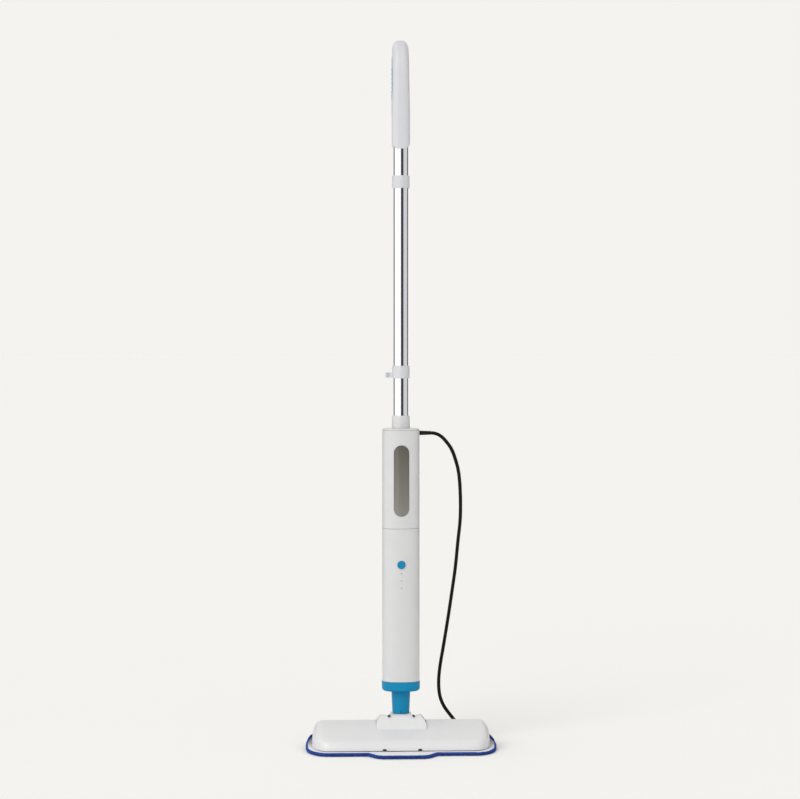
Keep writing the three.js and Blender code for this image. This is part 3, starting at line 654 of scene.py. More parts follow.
def set_camera():
    """A long lens from a little to the left, level with the middle of the mop."""
    data = bpy.data.cameras.new("camera")
    data.sensor_width = 36.0
    data.lens = CAMERA_LENS
    data.shift_x = CAMERA_SHIFT
    camera = new_object("camera", data)
    camera.location = (
        CAMERA_DISTANCE * math.sin(CAMERA_AZIMUTH),
        -CAMERA_DISTANCE * math.cos(CAMERA_AZIMUTH),
        CAMERA_HEIGHT,
    )
    aim = Vector((0, 0, AIM_HEIGHT)) - camera.location
    camera.rotation_mode = "QUATERNION"
    camera.rotation_quaternion = aim.to_track_quat("-Z", "Y")
    bpy.context.scene.camera = camera


BACKDROP = (0.905, 0.896, 0.863)
FLOOR_ALBEDO = 0.947  # makes the lit floor as bright as the backdrop at the horizon
FLOOR_HALF_SIZE = 80.0
FLOOR_DROP = 0.0005  # keeps the floor clear of the pieces that rest at zero
WORLD_FALLOFF = [("Z", 0.3, 0.7), ("X", 0.2, 0.72)]  # axis, where it starts, what it falls to
KEY_ENERGY = 1.3
KEY_ANGLE = math.radians(34)
KEY_DIRECTION = Vector((0.55, 0.85, -0.8))


def set_floor():
    """A pale matt floor that reaches past the horizon."""
    surface = Surface("pale floor", (FLOOR_ALBEDO, FLOOR_ALBEDO, FLOOR_ALBEDO), 1.0)
    surface.set(Specular_IOR_Level=0.0)
    mesh = bpy.data.meshes.new("floor")
    size = FLOOR_HALF_SIZE
    corners = [(-size, -size, 0), (size, -size, 0), (size, size, 0), (-size, size, 0)]
    mesh.from_pydata(corners, [], [(0, 1, 2, 3)])
    mesh.materials.append(surface.material)
    floor = new_object("floor", mesh)
    floor.location.z = -FLOOR_DROP


def set_light():
    """A pale room, dimmer overhead and to the right, and one broad soft light from the front left."""
    world = bpy.data.worlds.new("studio")
    bpy.context.scene.world = world
    world.use_nodes = True
    nodes, links = world.node_tree.nodes, world.node_tree.links
    direction = nodes.new("ShaderNodeTexCoord")
    parts = nodes.new("ShaderNodeSeparateXYZ")
    strength = nodes.new("ShaderNodeMath")
    strength.operation = "MULTIPLY"
    links.new(direction.outputs["Generated"], parts.inputs["Vector"])
    for slot, (axis, start, lowest) in enumerate(WORLD_FALLOFF):
        level = nodes.new("ShaderNodeMapRange")
        level.inputs["From Min"].default_value = start
        level.inputs["From Max"].default_value = 1.0
        level.inputs["To Min"].default_value = 1.0
        level.inputs["To Max"].default_value = lowest
        links.new(parts.outputs[axis], level.inputs["Value"])
        links.new(level.outputs["Result"], strength.inputs[slot])
    links.new(strength.outputs["Value"], nodes["Background"].inputs["Strength"])
    nodes["Background"].inputs["Color"].default_value = (*BACKDROP, 1)
    key = bpy.data.lights.new("key light", "SUN")
    key.energy = KEY_ENERGY
    key.angle = KEY_ANGLE
    key.color = BACKDROP
    lamp = new_object("key light", key)
    lamp.rotation_mode = "QUATERNION"
    lamp.rotation_quaternion = KEY_DIRECTION.to_track_quat("-Z", "Y")


CARD_DISTANCE = 2.0
CARD_HEIGHT = 1.7
REFLECTION_CARDS = [  # name, start and end in degrees to the right of the camera, brightness
    ("dark card edge", 0, 5, 0.3),
    ("dark card by the camera", 5, 34, 0.03),
    ("dark card far edge", 34, 46, 0.3),
    ("grey card on the right", 46, 112, 0.64),
    ("bright card on the left", -108, -2, 1.06),
    ("dark card behind left", -158, -112, 0.14),
    ("dark card behind right", 116, 160, 0.08),
]


def reflection_card(name, start, end, brightness):
    """A tall curved card round the mop that only shows in reflections."""
    surface = Surface(name, (0, 0, 0), 1.0)
    surface.set(Specular_IOR_Level=0.0, Emission_Strength=1.0)
    surface.shader.inputs["Emission Color"].default_value = (brightness, brightness, brightness * 1.05, 1)
    verts, faces = [], []
    steps = 12
    for i in range(steps + 1):
        angle = CAMERA_AZIMUTH + math.radians(start + (end - start) * i / steps)
        for height in (0.0, CARD_HEIGHT):
            verts.append((CARD_DISTANCE * math.sin(angle), -CARD_DISTANCE * math.cos(angle), height))
    for i in range(steps):
        faces.append((2 * i, 2 * i + 2, 2 * i + 3, 2 * i + 1))
    mesh = bpy.data.meshes.new(name)
    mesh.from_pydata(verts, [], faces)
    mesh.materials.append(surface.material)
    card = new_object(name, mesh)
    for ray in ("camera", "diffuse", "shadow", "transmission", "volume_scatter"):
        setattr(card, f"visible_{ray}", False)


set_camera()
set_floor()
set_light()
for card in REFLECTION_CARDS:
    reflection_card(*card)
bpy.context.scene.view_settings.view_transform = "Standard"

# ---- Mains cord ----

CORD_DIAMETER = 6.0
GLAND_START = 28.5
GLAND_END = 52.0
GLAND_Z = 535.5
COIL_CENTRE = (31.0, 140.0)
COIL_HALF_STRAIGHT = 45.0  # half the length of the coil's straight runs, which lie along X
COIL_INNER = 25.4  # radius of the innermost turn's ends
COIL_OUTER = 43.4  # radius of the outermost turn's ends
COIL_LAYERS = 3
TAIL_RADIUS = 49.0
TAIL_ANGLE = 110.0  # angle at which the cord leaves the left-hand end for its plug, in degrees

# From the gland it swings out to the right, hangs down behind the head and lands by the coil.
CORD_ROUTE = [
    (52.3, 0, 535.5), (56, 0, 535.4), (60, 0.4, 534.4), (65.2, 1.3, 532), (70.6, 2.6, 527.9),
    (75.6, 4.3, 522.4), (86, 9, 508.5), (94, 16, 488), (99.5, 24, 467.5), (103.5, 38, 426),
    (104, 50, 385), (101, 61, 348), (97, 72, 299), (91, 82, 251), (86, 88, 214), (78, 93, 162),
    (71.5, 95, 122), (69.8, 95.5, 96), (72, 95.5, 74), (79, 95.5, 56.5), (90, 96, 41.5),
    (100.5, 97.8, 28), (109.1, 103.2, 17.5), (116, 110.9, 10), (121.2, 119.9, 5.5),
]


def on_coil(radius, turns, height):
    """A point on a long-sided coil, after some turns anticlockwise from its right-hand end."""
    quarter = math.pi / 2 * (COIL_INNER + COIL_OUTER) / 2
    straight = 2 * COIL_HALF_STRAIGHT
    reach = (turns % 1.0) * (4 * quarter + 2 * straight)
    x, y = COIL_CENTRE
    if reach < quarter or reach > 3 * quarter + 2 * straight:
        over = reach if reach < quarter else reach - 4 * quarter - 2 * straight
        angle = math.pi / 2 * over / quarter
        x += COIL_HALF_STRAIGHT + radius * math.cos(angle)
        y += radius * math.sin(angle)
    elif reach < quarter + straight:
        x += COIL_HALF_STRAIGHT - (reach - quarter)
        y += radius
    elif reach < 3 * quarter + straight:
        angle = math.pi / 2 * (reach - straight) / quarter
        x += -COIL_HALF_STRAIGHT + radius * math.cos(angle)
        y += radius * math.sin(angle)
    else:
        x += -COIL_HALF_STRAIGHT + (reach - 3 * quarter - straight)
        y -= radius
    return (x, y, height)


# How the cord leaves the innermost turn of the top layer: turns, radius and height. It climbs over
# the outer turns in a long low hump along the front, and comes down outside them to the floor.
TAIL_ROUTE = [
    (0.5, 26, 15.6), (0.56, 27.2, 18), (0.62, 29.4, 20.4), (0.7, 32.6, 21.1), (0.78, 36, 21.1),
    (0.86, 39.5, 21.1), (0.94, 43, 21.1), (1.0, 45.6, 20.5), (1.05, 48, 18.6), (1.1, 49.2, 15.4),
    (1.16, 49.2, 11.5), (1.24, 49.2, 7.4), (1.32, 49.2, 4.4), (1.36, 49.1, 3.4),
]


def coil_points():
    """The turns, in flat layers that run inwards and outwards by turns, then the way out."""
    points = []
    slots = round((COIL_OUTER - COIL_INNER) / CORD_DIAMETER) + 1
    steps = 24
    done = 0
    for layer in range(COIL_LAYERS):
        inwards = layer % 2 == 0
        height = CORD_DIAMETER * (layer + 0.5)
        for turn in range(slots):
            slot = turn if inwards else slots - 1 - turn
            radius = COIL_OUTER - CORD_DIAMETER * slot
            end_of_layer = turn == slots - 1
            shift = 0 if end_of_layer else -CORD_DIAMETER if inwards else CORD_DIAMETER
            end_of_coil = end_of_layer and layer == COIL_LAYERS - 1
            for k in range(steps // 2 if end_of_coil else steps):
                share = max(0.0, 2 * k / steps - 1)
                ease = eased(share)
                rise = CORD_DIAMETER * ease if end_of_layer else 0.0
                landing = 4.5 * max(0.0, 1 - k / 8) ** 2 if done == 0 else 0.0
                points.append(on_coil(radius + shift * ease + landing, done + k / steps, height + rise))
            done += 1
    return points + [on_coil(radius, turns, height) for turns, radius, height in TAIL_ROUTE]


def tail_frame():
    """Where the cord leaves the coil, the way it goes and the way to its left."""
    turn = math.radians(TAIL_ANGLE)
    start = Vector((
        COIL_CENTRE[0] - COIL_HALF_STRAIGHT + TAIL_RADIUS * math.cos(turn),
        COIL_CENTRE[1] + TAIL_RADIUS * math.sin(turn),
        0.0,
    ))
    return start, Vector((-math.sin(turn), math.cos(turn), 0)), Vector((-math.cos(turn), -math.sin(turn), 0))


PLUG_AXIS = 7.5  # height of the plug's axis above the floor
RELIEF_START = 28.5
RELIEF_END = 52.5
PLUG_FACE = 89.5  # from the coil to the plug's face
PLUG_SIDES = 48
PLUG_SQUARENESS = 3.2  # exponent of the plug's rounded section
PIN_OFFSET = 8.7  # from the plug's axis to a pin's


def on_tail(piece):
    """Carries a piece built along +X to the line on which the cord leaves the coil."""
    start, along, left = tail_frame()
    place = Matrix.Identity(4)
    place.col[0][:3] = along
    place.col[1][:3] = left
    place.col[2][:3] = (0, 0, 1)
    place.col[3][:3] = (start.x * MM, start.y * MM, PLUG_AXIS * MM)
    piece.data.transform(place)
    return piece


def ribbed_relief(name, start, end, wide, narrow, ribs, material):
    """A tapered strain relief along Z with bending slots moulded round it."""
    profile = [(narrow * 0.55, start), (wide * 0.94, start), (wide, start + 0.6)]
    pitch = (end - start - 2) / ribs
    for i in range(ribs):
        low = start + 1.5 + i * pitch
        share = (i + 0.5) / ribs
        radius = wide + (narrow - wide) * share
        floor = radius - 0.55
        profile += [(radius, low), (radius, low + pitch * 0.5), (radius - 0.15, low + pitch * 0.56)]
        profile += [(floor, low + pitch * 0.62), (floor, low + pitch * 0.9)]
        profile.append((radius - 0.2, low + pitch * 0.96))
    profile += [(narrow, end - 0.5), (narrow - 0.3, end), (narrow * 0.55, end)]
    return turned(name, profile, material, sides=40, closed=True, sharp_degrees=50)


def make_plug():
    """A moulded two-pin plug: waisted body, raised grip ribs and face rim, with its strain relief. The pins
    with sleeves are made by make_plug_pins.
    """
    profile = [
        (RELIEF_END - 1, 6.2), (RELIEF_END + 3, 6.6), (RELIEF_END + 9, 8.6), (RELIEF_END + 14, 11.6),
        (RELIEF_END + 19, 12.9), (RELIEF_END + 26, 13.0), (RELIEF_END + 33, 12.2), (PLUG_FACE - 1.2, 11.4),
        (PLUG_FACE, 10.4),
    ]
    line = smooth_line([(x, w, 0) for x, w in profile], 4)
    rings = []
    for point in line:
        share = (point.x - RELIEF_END) / (PLUG_FACE - RELIEF_END)
        thick = 6.1 + 0.9 * math.sin(math.pi * clamped(share) ** 0.8)
        if point.x > PLUG_FACE - 0.9:
            thick -= 1.0
        ring = []
        for k in range(PLUG_SIDES):
            angle = 2 * math.pi * k / PLUG_SIDES
            c, s = math.cos(angle), math.sin(angle)
            power = 2 / PLUG_SQUARENESS
            ring.append((point.x, point.y * signed_power(c, power), thick * signed_power(s, power)))
        rings.append(ring)
    body = lofted("plug_moulding", rings, BLACK)
    ribs = []
    for side in (-1, 1):
        for i in range(5):
            x = RELIEF_END + 17 + i * 3.4
            outline = rectangle(x - 0.7, x + 0.7, -4.6, 4.6, 0.6, 4)
            rib = prism("rib", outline, 12.0, 13.4, "Y", BLACK, edge=0.35, edge_steps=2)
            if side < 0:
                rib.data.transform(Matrix.Scale(-1, 4, (0, 1, 0)))
            tidy_mesh(rib)
            ribs.append(rib)
    join_with(body, ribs)
    on_tail(body)
    relief = turn_to_x(ribbed_relief("plug_relief", -RELIEF_END - 0.5, -RELIEF_START, 6.1, 3.9, 6, BLACK))
    relief.data.transform(Matrix.Rotation(math.pi, 4, "Z"))
    return body, on_tail(relief)


def make_plug_pins():
    """Two brass pins, each with an insulating sleeve at its root."""
    pins = []
    for name, side in (("left", -1), ("right", 1)):
        pin = turn_to_x(turned(f"{name}_plug_pin", [
            (0, PLUG_FACE - 4), (2, PLUG_FACE - 4), (2, PLUG_FACE + 17.6), (1.75, PLUG_FACE + 18.4),
            (1.2, PLUG_FACE + 18.9), (0, PLUG_FACE + 19),
        ], BRASS, sides=32))
        sleeve = turn_to_x(turned(f"{name}_pin_sleeve", [
            (1.9, PLUG_FACE - 3), (2.28, PLUG_FACE - 3), (2.28, PLUG_FACE + 7.6), (2.1, PLUG_FACE + 8),
            (1.9, PLUG_FACE + 8),
        ], BLACK, sides=32, closed=True))
        for piece in (pin, sleeve):
            on_tail(shifted(piece, y=side * PIN_OFFSET))
        place_piece(pin, "main_unit", "brass", f"plug_pin_{name}")
        place_piece(sleeve, "main_unit", "black_plastic")
        pins += [pin, sleeve]
    return pins


def make_coil_tie():
    """A black hook-and-loop strap round the left-hand end of the coil."""
    width, thick = 11.0, 1.1
    low, high = thick, CORD_DIAMETER * COIL_LAYERS + 0.7
    inner, outer = COIL_INNER - 3.6, COIL_OUTER + 3.6
    outline = rectangle(inner, outer, low, high, 5, 6)
    section = [
        (-width / 2, 0), (width / 2, 0), (width / 2, 0.3 - thick), (width / 2 - 0.3, -thick),
        (0.3 - width / 2, -thick), (-width / 2, 0.3 - thick),
    ]
    rings = [[(a, level, b) for a, b in inset_outline(outline, inset)] for level, inset in section]
    tie = lofted("coil_tie", rings, HOOK_TAPE, closed=True)
    tie.data.transform(Matrix.Rotation(math.pi, 4, "Z"))
    return shifted(tie, COIL_CENTRE[0] - COIL_HALF_STRAIGHT, COIL_CENTRE[1])


def make_cord():
    """The whole lead on one line: the route from the gland, the coil and the tail to the plug."""
    start, along, _ = tail_frame()
    rise = [(0, 3.1), (8, 3.3), (15, 4.5), (23, 6.4), (30, 7.3), (37, PLUG_AXIS), (46, PLUG_AXIS)]
    tail = [tuple(start + along * reach + Vector((0, 0, height))) for reach, height in rise]
    line = evened(smooth_line([*CORD_ROUTE, *coil_points(), *tail], 6), 3.0, 5)
    data = bpy.data.curves.new("mains_cord", "CURVE")
    data.dimensions = "3D"
    spline = data.splines.new("POLY")
    spline.points.add(len(line) - 1)
    for point, place in zip(spline.points, line):
        point.co = (place.x * MM, place.y * MM, place.z * MM, 1)
    data.bevel_depth = CORD_DIAMETER / 2 * MM
    data.bevel_resolution = 5
    data.use_fill_caps = True
    data.materials.append(CORD)
    cord = new_object("mains_cord", data)
    place_piece(cord, "main_unit", "black_cord", "power_cord", "cord_coil")
    body, relief = make_plug()
    place_piece(body, "main_unit", "black_plastic", "plug_body")
    place_piece(relief, "main_unit", "black_plastic")
    gland = turn_to_x(ribbed_relief("cord_strain_relief", GLAND_START, GLAND_END, 4.1, 3.3, 7, BLACK))
    shifted(gland, z=GLAND_Z)
    place_piece(gland, "main_unit", "black_plastic", "cord_gland")
    tie = place_piece(make_coil_tie(), "main_unit", "hook_tape")
    length = sum((b - a).length for a, b in zip(line, line[1:])) * MM
    tuple(c * MM for c in CORD_ROUTE[0])
    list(make_plug_pins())


# ---- Handle ----

HANDLE_BOTTOM = 1014.0
HANDLE_TOP = 1200.0
HANDLE_HALF_WIDTH = 15.2
HANDLE_EDGE = 10.0  # how far the handle's rounded edges reach in, in its side view
HANDLE_EDGE_DEPTH = 11.0  # how far they reach across its width
TOP_NARROWING, REAR_NARROWING = 0.09, 0.11  # how much slimmer its top and its rear are
RIB_PITCH, RIB_HEIGHT = 7.6, 0.25  # of the grip
LOOP_REAR = 87.0
GRIP_FRONT, GRIP_LOW, GRIP_HIGH = 64.0, 1102.0, 1178.0
POLE_RADIUS = 12.5
GAP = 0.3


def handle_outline():
    """The handle's side view in (y, z): a socket for the pole that opens into a D-shaped loop."""
    return [
        *straight((-15.2, HANDLE_BOTTOM), (-15.2, 1142), 6),
        *bezier((-15.2, 1142), (-15.2, 1178), (4, HANDLE_TOP), (36, HANDLE_TOP), 22),
        *bezier((36, HANDLE_TOP), (67, HANDLE_TOP), (LOOP_REAR, 1180), (LOOP_REAR, 1146), 22),
        *straight((LOOP_REAR, 1146), (85, 1112), 4),
        *bezier((85, 1112), (81, 1074), (15.2, 1090), (15.2, 1046), 26),
        *straight((15.2, 1046), (15.2, HANDLE_BOTTOM), 3),
        (15.2, HANDLE_BOTTOM),
        (0, HANDLE_BOTTOM),
    ]


def finger_gap_outline():
    """The opening of the loop, in (y, z)."""
    return [
        *bezier((12.5, 1104), (12.5, 1090), (57, 1097), (59, 1118), 22),
        *straight((59, 1118), (60.5, 1143), 4),
        *bezier((60.5, 1143), (60.5, 1162), (52, 1173.5), (37, 1173.5), 14),
        *bezier((37, 1173.5), (22, 1173.5), (12.5, 1161), (12.5, 1141), 14),
        *straight((12.5, 1141), (12.5, 1104), 4),
    ]


def handle_levels(outline, half, edge, depth, over_top, steps=9):
    """Rings across the handle's width, rounded in by edge at both sides, or flared when it is
    negative. Towards the top of the handle the rounding is over_top times as far."""
    rings = []
    for k in range(-steps, steps + 2):
        share = min(max(-k, k - 1, 0), steps) / steps
        angle = math.radians(90 * share)
        across = math.copysign(half - depth * (1 - math.sin(angle)), k - 0.5)
        ring = []
        insets = []
        for _, z in outline:
            rise = clamped((z - 1140) / 50)
            insets.append(edge * (1 - math.cos(angle)) * (1 + (over_top - 1) * eased(rise)))
        for y, z in inset_outline(outline, insets):
            ring.append((across, y, z))
        rings.append(ring)
    return rings


HANDLE_SCREWS = [("lower", 0, 1068), ("upper", 66, 1090)]


def slimmed(piece):
    """Narrows the handle a little towards its top and towards the rear of its loop."""
    for vertex in piece.data.vertices:
        rise = clamped((vertex.co.z / MM - 1080) / 45)
        back = clamped((vertex.co.y / MM - 18) / 55)
        vertex.co.x *= 1 - TOP_NARROWING * eased(rise) - REAR_NARROWING * eased(back)
    return piece


def handle_half(name, side):
    """One moulded half: rounded block less the finger gap, pole socket, grip seat and screw holes."""
    half, edge, depth = HANDLE_HALF_WIDTH, HANDLE_EDGE, HANDLE_EDGE_DEPTH
    rings = handle_levels(handle_outline(), half, edge, depth, 1.5)
    piece = lofted(f"handle_half_{name}", rings, COOL_WHITE)
    flare = handle_levels(finger_gap_outline(), half + 0.4, -edge - 0.4, depth + 0.4, 0.85)
    gap = lofted("cutter", flare, COOL_WHITE)
    low, high = (-0.02, 40) if side < 0 else (-40, 0.02)
    other_half = block(low, high, -60, 130, 990, 1230)
    seat = block(-40, 40, GRIP_FRONT, 110, GRIP_LOW, GRIP_HIGH)
    cutters = [other_half, gap, round_bar(POLE_RADIUS + GAP, 1000, 1052, 96), seat]
    for _, y, z in HANDLE_SCREWS:
        if side > 0:
            cutters.append(bar_along_x(3.6, 5.8, 20, y, z))
        cutters.append(bar_along_x(1.8, -10, 10, y, z))
    cut_away(piece, cutters, 30)
    place_even(slimmed(piece), "main_unit", "white_plastic", f"handle_{name}_shell")


def make_grip():
    """The soft insert at the rear of the loop: it stands a little proud, with shallow ribs across it."""
    rear = sorted((z, y) for y, z in handle_outline() if y > 60)
    front = sorted((z, y) for y, z in finger_gap_outline() if y > 40)
    low, high = GRIP_LOW + GAP, GRIP_HIGH - GAP
    flat = HANDLE_HALF_WIDTH - HANDLE_EDGE_DEPTH
    count, samples = 110, 18
    rings = []
    for i in range(count + 1):
        z = low + (high - low) * i / count
        end = min(z - low, high - z)
        rib = RIB_HEIGHT * math.cos(2 * math.pi * (z - low) / RIB_PITCH) * min(1.0, end / 6)
        swell = 0.5 + rib - 0.9 * max(0.0, 1 - end / 1.2) ** 2
        back, gap = at_height(rear, z), at_height(front, z)
        side = []
        for k in range(samples + 1):
            y = GRIP_FRONT + GAP + (back - GRIP_FRONT - GAP) * math.sin(math.radians(90 * k / samples))
            rear_share = max(0.0, 1 - (back - y) / HANDLE_EDGE)
            gap_share = max(0.0, 1 - (y - gap) / (HANDLE_EDGE + 0.4))
            curve = math.sqrt(max(0.0, 1 - max(rear_share, gap_share) ** 2))
            side.append((flat + HANDLE_EDGE_DEPTH * curve + swell, y + swell * k / samples, z))
        rings.append(side + [(-x, y, z) for x, y, _ in reversed(side)])
    grip = lofted("soft_grip", rings, GRIP)
    place_even(slimmed(grip), "main_unit", "blue_grip", "grip_insert")


def at_height(line, z):
    """The y of a line of (z, y) at a height, held at its ends."""
    for (z0, y0), (z1, y1) in zip(line, line[1:]):
        if z0 <= z <= z1:
            return y0 + (y1 - y0) * (z - z0) / max(z1 - z0, 1e-6)
    return line[0][1] if z < line[0][0] else line[-1][1]


def make_handle_screws():
    """Pan-head screws with a cross recess, sunk in the right-hand half."""
    for name, y, z in HANDLE_SCREWS:
        screw = turned(f"{name}_screw", [
            (0, -9), (1.6, -9), (1.6, 6.0), (3.2, 6.0), (3.2, 7.4), (2.9, 8.3), (2.2, 8.9), (1.2, 9.1),
            (0, 9.15),
        ], STEEL, 40)
        recess = [block(-1.9, 1.9, -0.45, 0.45, 7.3, 12), block(-0.45, 0.45, -1.9, 1.9, 7.3, 12)]
        cut_away(screw, recess)
        shifted(turn_to_x(screw), y=y, z=z)
        place_piece(screw, "main_unit", "steel", f"handle_screw_{name}")


# ---- Pole and cord hooks ----

POLE_WALL = 1.2
POLE_FOOT, POLE_JOINT, POLE_TOP = 523.0, 638.5, 1050.0
HOOK_RADIUS = 14.75
HOOK_HEIGHT = 21.0


def make_tube(name, low, high, node):
    """A length of the chromed pole, with its cut ends broken."""
    outer, inner = POLE_RADIUS, POLE_RADIUS - POLE_WALL
    tube = turned(name, [
        (inner, low), (outer - 0.4, low), (outer - 0.1, low + 0.12), (outer, low + 0.4),
        (outer, high - 0.4), (outer - 0.1, high - 0.12), (outer - 0.4, high), (inner, high),
    ], CHROME, sides=128, closed=True)
    place_even(tube, "main_unit", "chrome", node)


def make_hook(name, foot, turn):
    """A collar on the pole with a T-shaped arm that the cord is wound round."""
    inner, outer, top = POLE_RADIUS + GAP, HOOK_RADIUS, foot + HOOK_HEIGHT
    collar = turned(f"{name}_cord_hook_ring", [
        (inner, foot + 0.3), (inner + 0.4, foot), (outer - 0.7, foot), (outer - 0.2, foot + 0.2),
        (outer, foot + 0.8), (outer, top - 0.8), (outer - 0.2, top - 0.2), (outer - 0.7, top),
        (inner + 0.4, top), (inner, top - 0.3),
    ], COOL_WHITE, sides=96, closed=True)
    tee = rounded_outline([
        (-3, 13.6, 0), (3, 13.6, 0), (3, 26.5, 1.6), (10, 26.5, 2.4), (10, 31.5, 2.4), (-10, 31.5, 2.4),
        (-10, 26.5, 2.4), (-3, 26.5, 1.6),
    ], 1, 6)
    arm = prism("arm", tee, foot + 0.8, foot + 9.3, "Z", COOL_WHITE, edge=0.9)
    join_with(collar, [arm])
    collar.data.transform(Matrix.Rotation(math.radians(turn), 4, "Z"))
    place_even(collar, f"{name}_hook_ring", "white_plastic", f"{name}_hook")


# ---- Upper body: neck, lid, tank housing, window and filler flap ----

BODY_HALF_WIDTH = 31.5
BODY_HALF_DEPTH = 28.0
BODY_POWER = 2.6  # exponent of the rounded oval section
ROUND = 2.0  # the same exponent for a plain circle
BODY_WALL = 2.5
LID_HOLE = 15.3
BODY_FOOT, BODY_SEAM, LID_FOOT, BODY_TOP = 116.0, 375.0, 540.5, 543.5
WINDOW_HALF_WIDTH, WINDOW_FOOT, WINDOW_TOP = 12.7, 396.0, 515.5
FLAP_HALF_WIDTH, FLAP_FOOT, FLAP_TOP = 15.0, 482.0, 516.0
HINGE_Y, HINGE_Z = 30.2, 484.2
SIDES = 144


def oval(half_width, half_depth, height, power=BODY_POWER):
    """One level of the body's rounded oval section."""
    ring = []
    for k in range(SIDES):
        angle = 2 * math.pi * k / SIDES
        c, s = math.cos(angle), math.sin(angle)
        x, y = half_width * signed_power(c, 2 / power), half_depth * signed_power(s, 2 / power)
        ring.append((x, y, height))
    return ring


def sleeve(name, inset, wall, low, high, rim=0.5, material=None):
    """A hollow length of the body's section with softly rounded rims."""
    levels = [
        (wall, low), (rim, low), (rim * 0.3, low + rim * 0.3), (0, low + rim),
        (0, high - rim), (rim * 0.3, high - rim * 0.3), (rim, high), (wall, high),
    ]
    rings = [oval(BODY_HALF_WIDTH - inset - step, BODY_HALF_DEPTH - inset - step, z) for step, z in levels]
    return lofted(name, rings, material or WHITE, closed=True)


def stadium(half_width, low, high, steps=24):
    """Straight sides with full-round ends, in (x, z)."""
    top = arc(0, high - half_width, half_width, 0, 180, steps)
    bottom = arc(0, low + half_width, half_width, 180, 360, steps)
    return top + bottom


def front_of_body(x, proud=0.0):
    """The y of the body's front face at x."""
    share = min(1.0, abs(x) / BODY_HALF_WIDTH)
    return -(BODY_HALF_DEPTH * (1 - share ** BODY_POWER) ** (1 / BODY_POWER)) - proud


def make_neck():
    """The tapered socket that the pole stands in."""
    neck = turned("pole_neck", [
        (0, 520.5), (15, 520.5), (15, 543.2), (15.4, 543.8), (15.4, 545), (15.25, 549), (14.75, 563.4),
        (14.5, 564.4), (13.9, 565), (12.8, 565), (12.8, 522.7), (0, 522.7),
    ], WHITE, sides=96)
    place_piece(neck, "main_unit", "white_plastic", "neck_collar")


def make_lid():
    """The crowned lid of the body, with a hole for the neck."""
    rings = [oval(BODY_HALF_WIDTH, BODY_HALF_DEPTH, LID_FOOT + GAP)]
    for k in range(8):
        angle = math.radians(14 + 76 * k / 7)
        inset = 3.5 * (1 - math.cos(angle))
        rings.append(oval(BODY_HALF_WIDTH - inset, BODY_HALF_DEPTH - inset, 540 + 3.5 * math.sin(angle)))
    rings.append(oval(LID_HOLE + 0.6, LID_HOLE + 0.6, BODY_TOP, ROUND))
    rings.append(oval(LID_HOLE, LID_HOLE, BODY_TOP - 0.5, ROUND))
    rings.append(oval(LID_HOLE, LID_HOLE, LID_FOOT + GAP, ROUND))
    lid = lofted("top_cover", rings, WHITE, closed=True, sharp_degrees=30)
    place_even(lid, "main_unit", "white_plastic", "top_lid")


def window_bead():
    """The thin raised rim round the window."""
    centre_line = stadium(WINDOW_HALF_WIDTH + 0.75, WINDOW_FOOT - 0.75, WINDOW_TOP + 0.75, 32)
    rings = []
    count = len(centre_line)
    for i, (x, z) in enumerate(centre_line):
        before, after = centre_line[i - 1], centre_line[(i + 1) % count]
        along = Vector((after[0] - before[0], after[1] - before[1])).normalized()
        out = Vector((along.y, -along.x))
        ring = []
        for k in range(10):
            angle = 2 * math.pi * k / 10
            px, pz = x + out.x * 0.7 * math.cos(angle), z + out.y * 0.7 * math.cos(angle)
            ring.append((px, front_of_body(px, 0.45 * math.sin(angle)), pz))
        rings.append(ring)
    return lofted("bead", rings, WHITE, closed=True)


def hinge_ear(side):
    """One of the two ears on the back of the tank housing that hold the flap's pin."""
    inner, outer = 6.5, 10.5
    outline = rounded_outline([
        (25.9, HINGE_Z - 8, 0), (HINGE_Y + 1.9, HINGE_Z - 3, 1), (HINGE_Y + 1.9, HINGE_Z + 1.8, 1.8),
        (HINGE_Y - 1.9, HINGE_Z + 1.8, 1.8), (HINGE_Y - 1.9, HINGE_Z - 2.4, 0.5), (25.9, HINGE_Z - 2.4, 0),
    ], 1, 6)
    low, high = (-outer, -inner) if side < 0 else (inner, outer)
    return prism("ear", outline, low, high, "X", WHITE, edge=0.4, edge_steps=2)


def make_tank_housing():
    """The upper shell, cut for the window, the filler flap, its pin and the cord."""
    housing = sleeve("tank_shell", 0, BODY_WALL, BODY_SEAM + GAP / 2, LID_FOOT)
    join_with(housing, [window_bead(), hinge_ear(-1), hinge_ear(1)])
    window_hole = stadium(WINDOW_HALF_WIDTH + GAP, WINDOW_FOOT - GAP, WINDOW_TOP + GAP)
    flap_hole = rectangle(-FLAP_HALF_WIDTH, FLAP_HALF_WIDTH, FLAP_FOOT, FLAP_TOP, 2.5, 5)
    cutters = [
        prism("cutter", window_hole, -45, 0, "Y", WHITE),
        prism("cutter", flap_hole, 10, 29, "Y", WHITE),
        bar_along_x(1.2, -20, 20, HINGE_Y, HINGE_Z, 24),
        bar_along_x(4.3, 20, 45, 0, GLAND_Z),
    ]
    cut_away(housing, cutters)
    place_even(housing, "main_unit", "white_plastic", "tank_housing")


def make_window():
    """The smoked pane, curved with the body's front."""
    pane = sleeve("tank_pane", 0.35, 2.0, WINDOW_FOOT - 5, WINDOW_TOP + 5, 0.2, WINDOW)
    shape = prism("other", stadium(WINDOW_HALF_WIDTH, WINDOW_FOOT, WINDOW_TOP), -45, 0, "Y", WINDOW)
    common_part(pane, shape)
    place_even(pane, "main_unit", "grey_window", "tank_window")


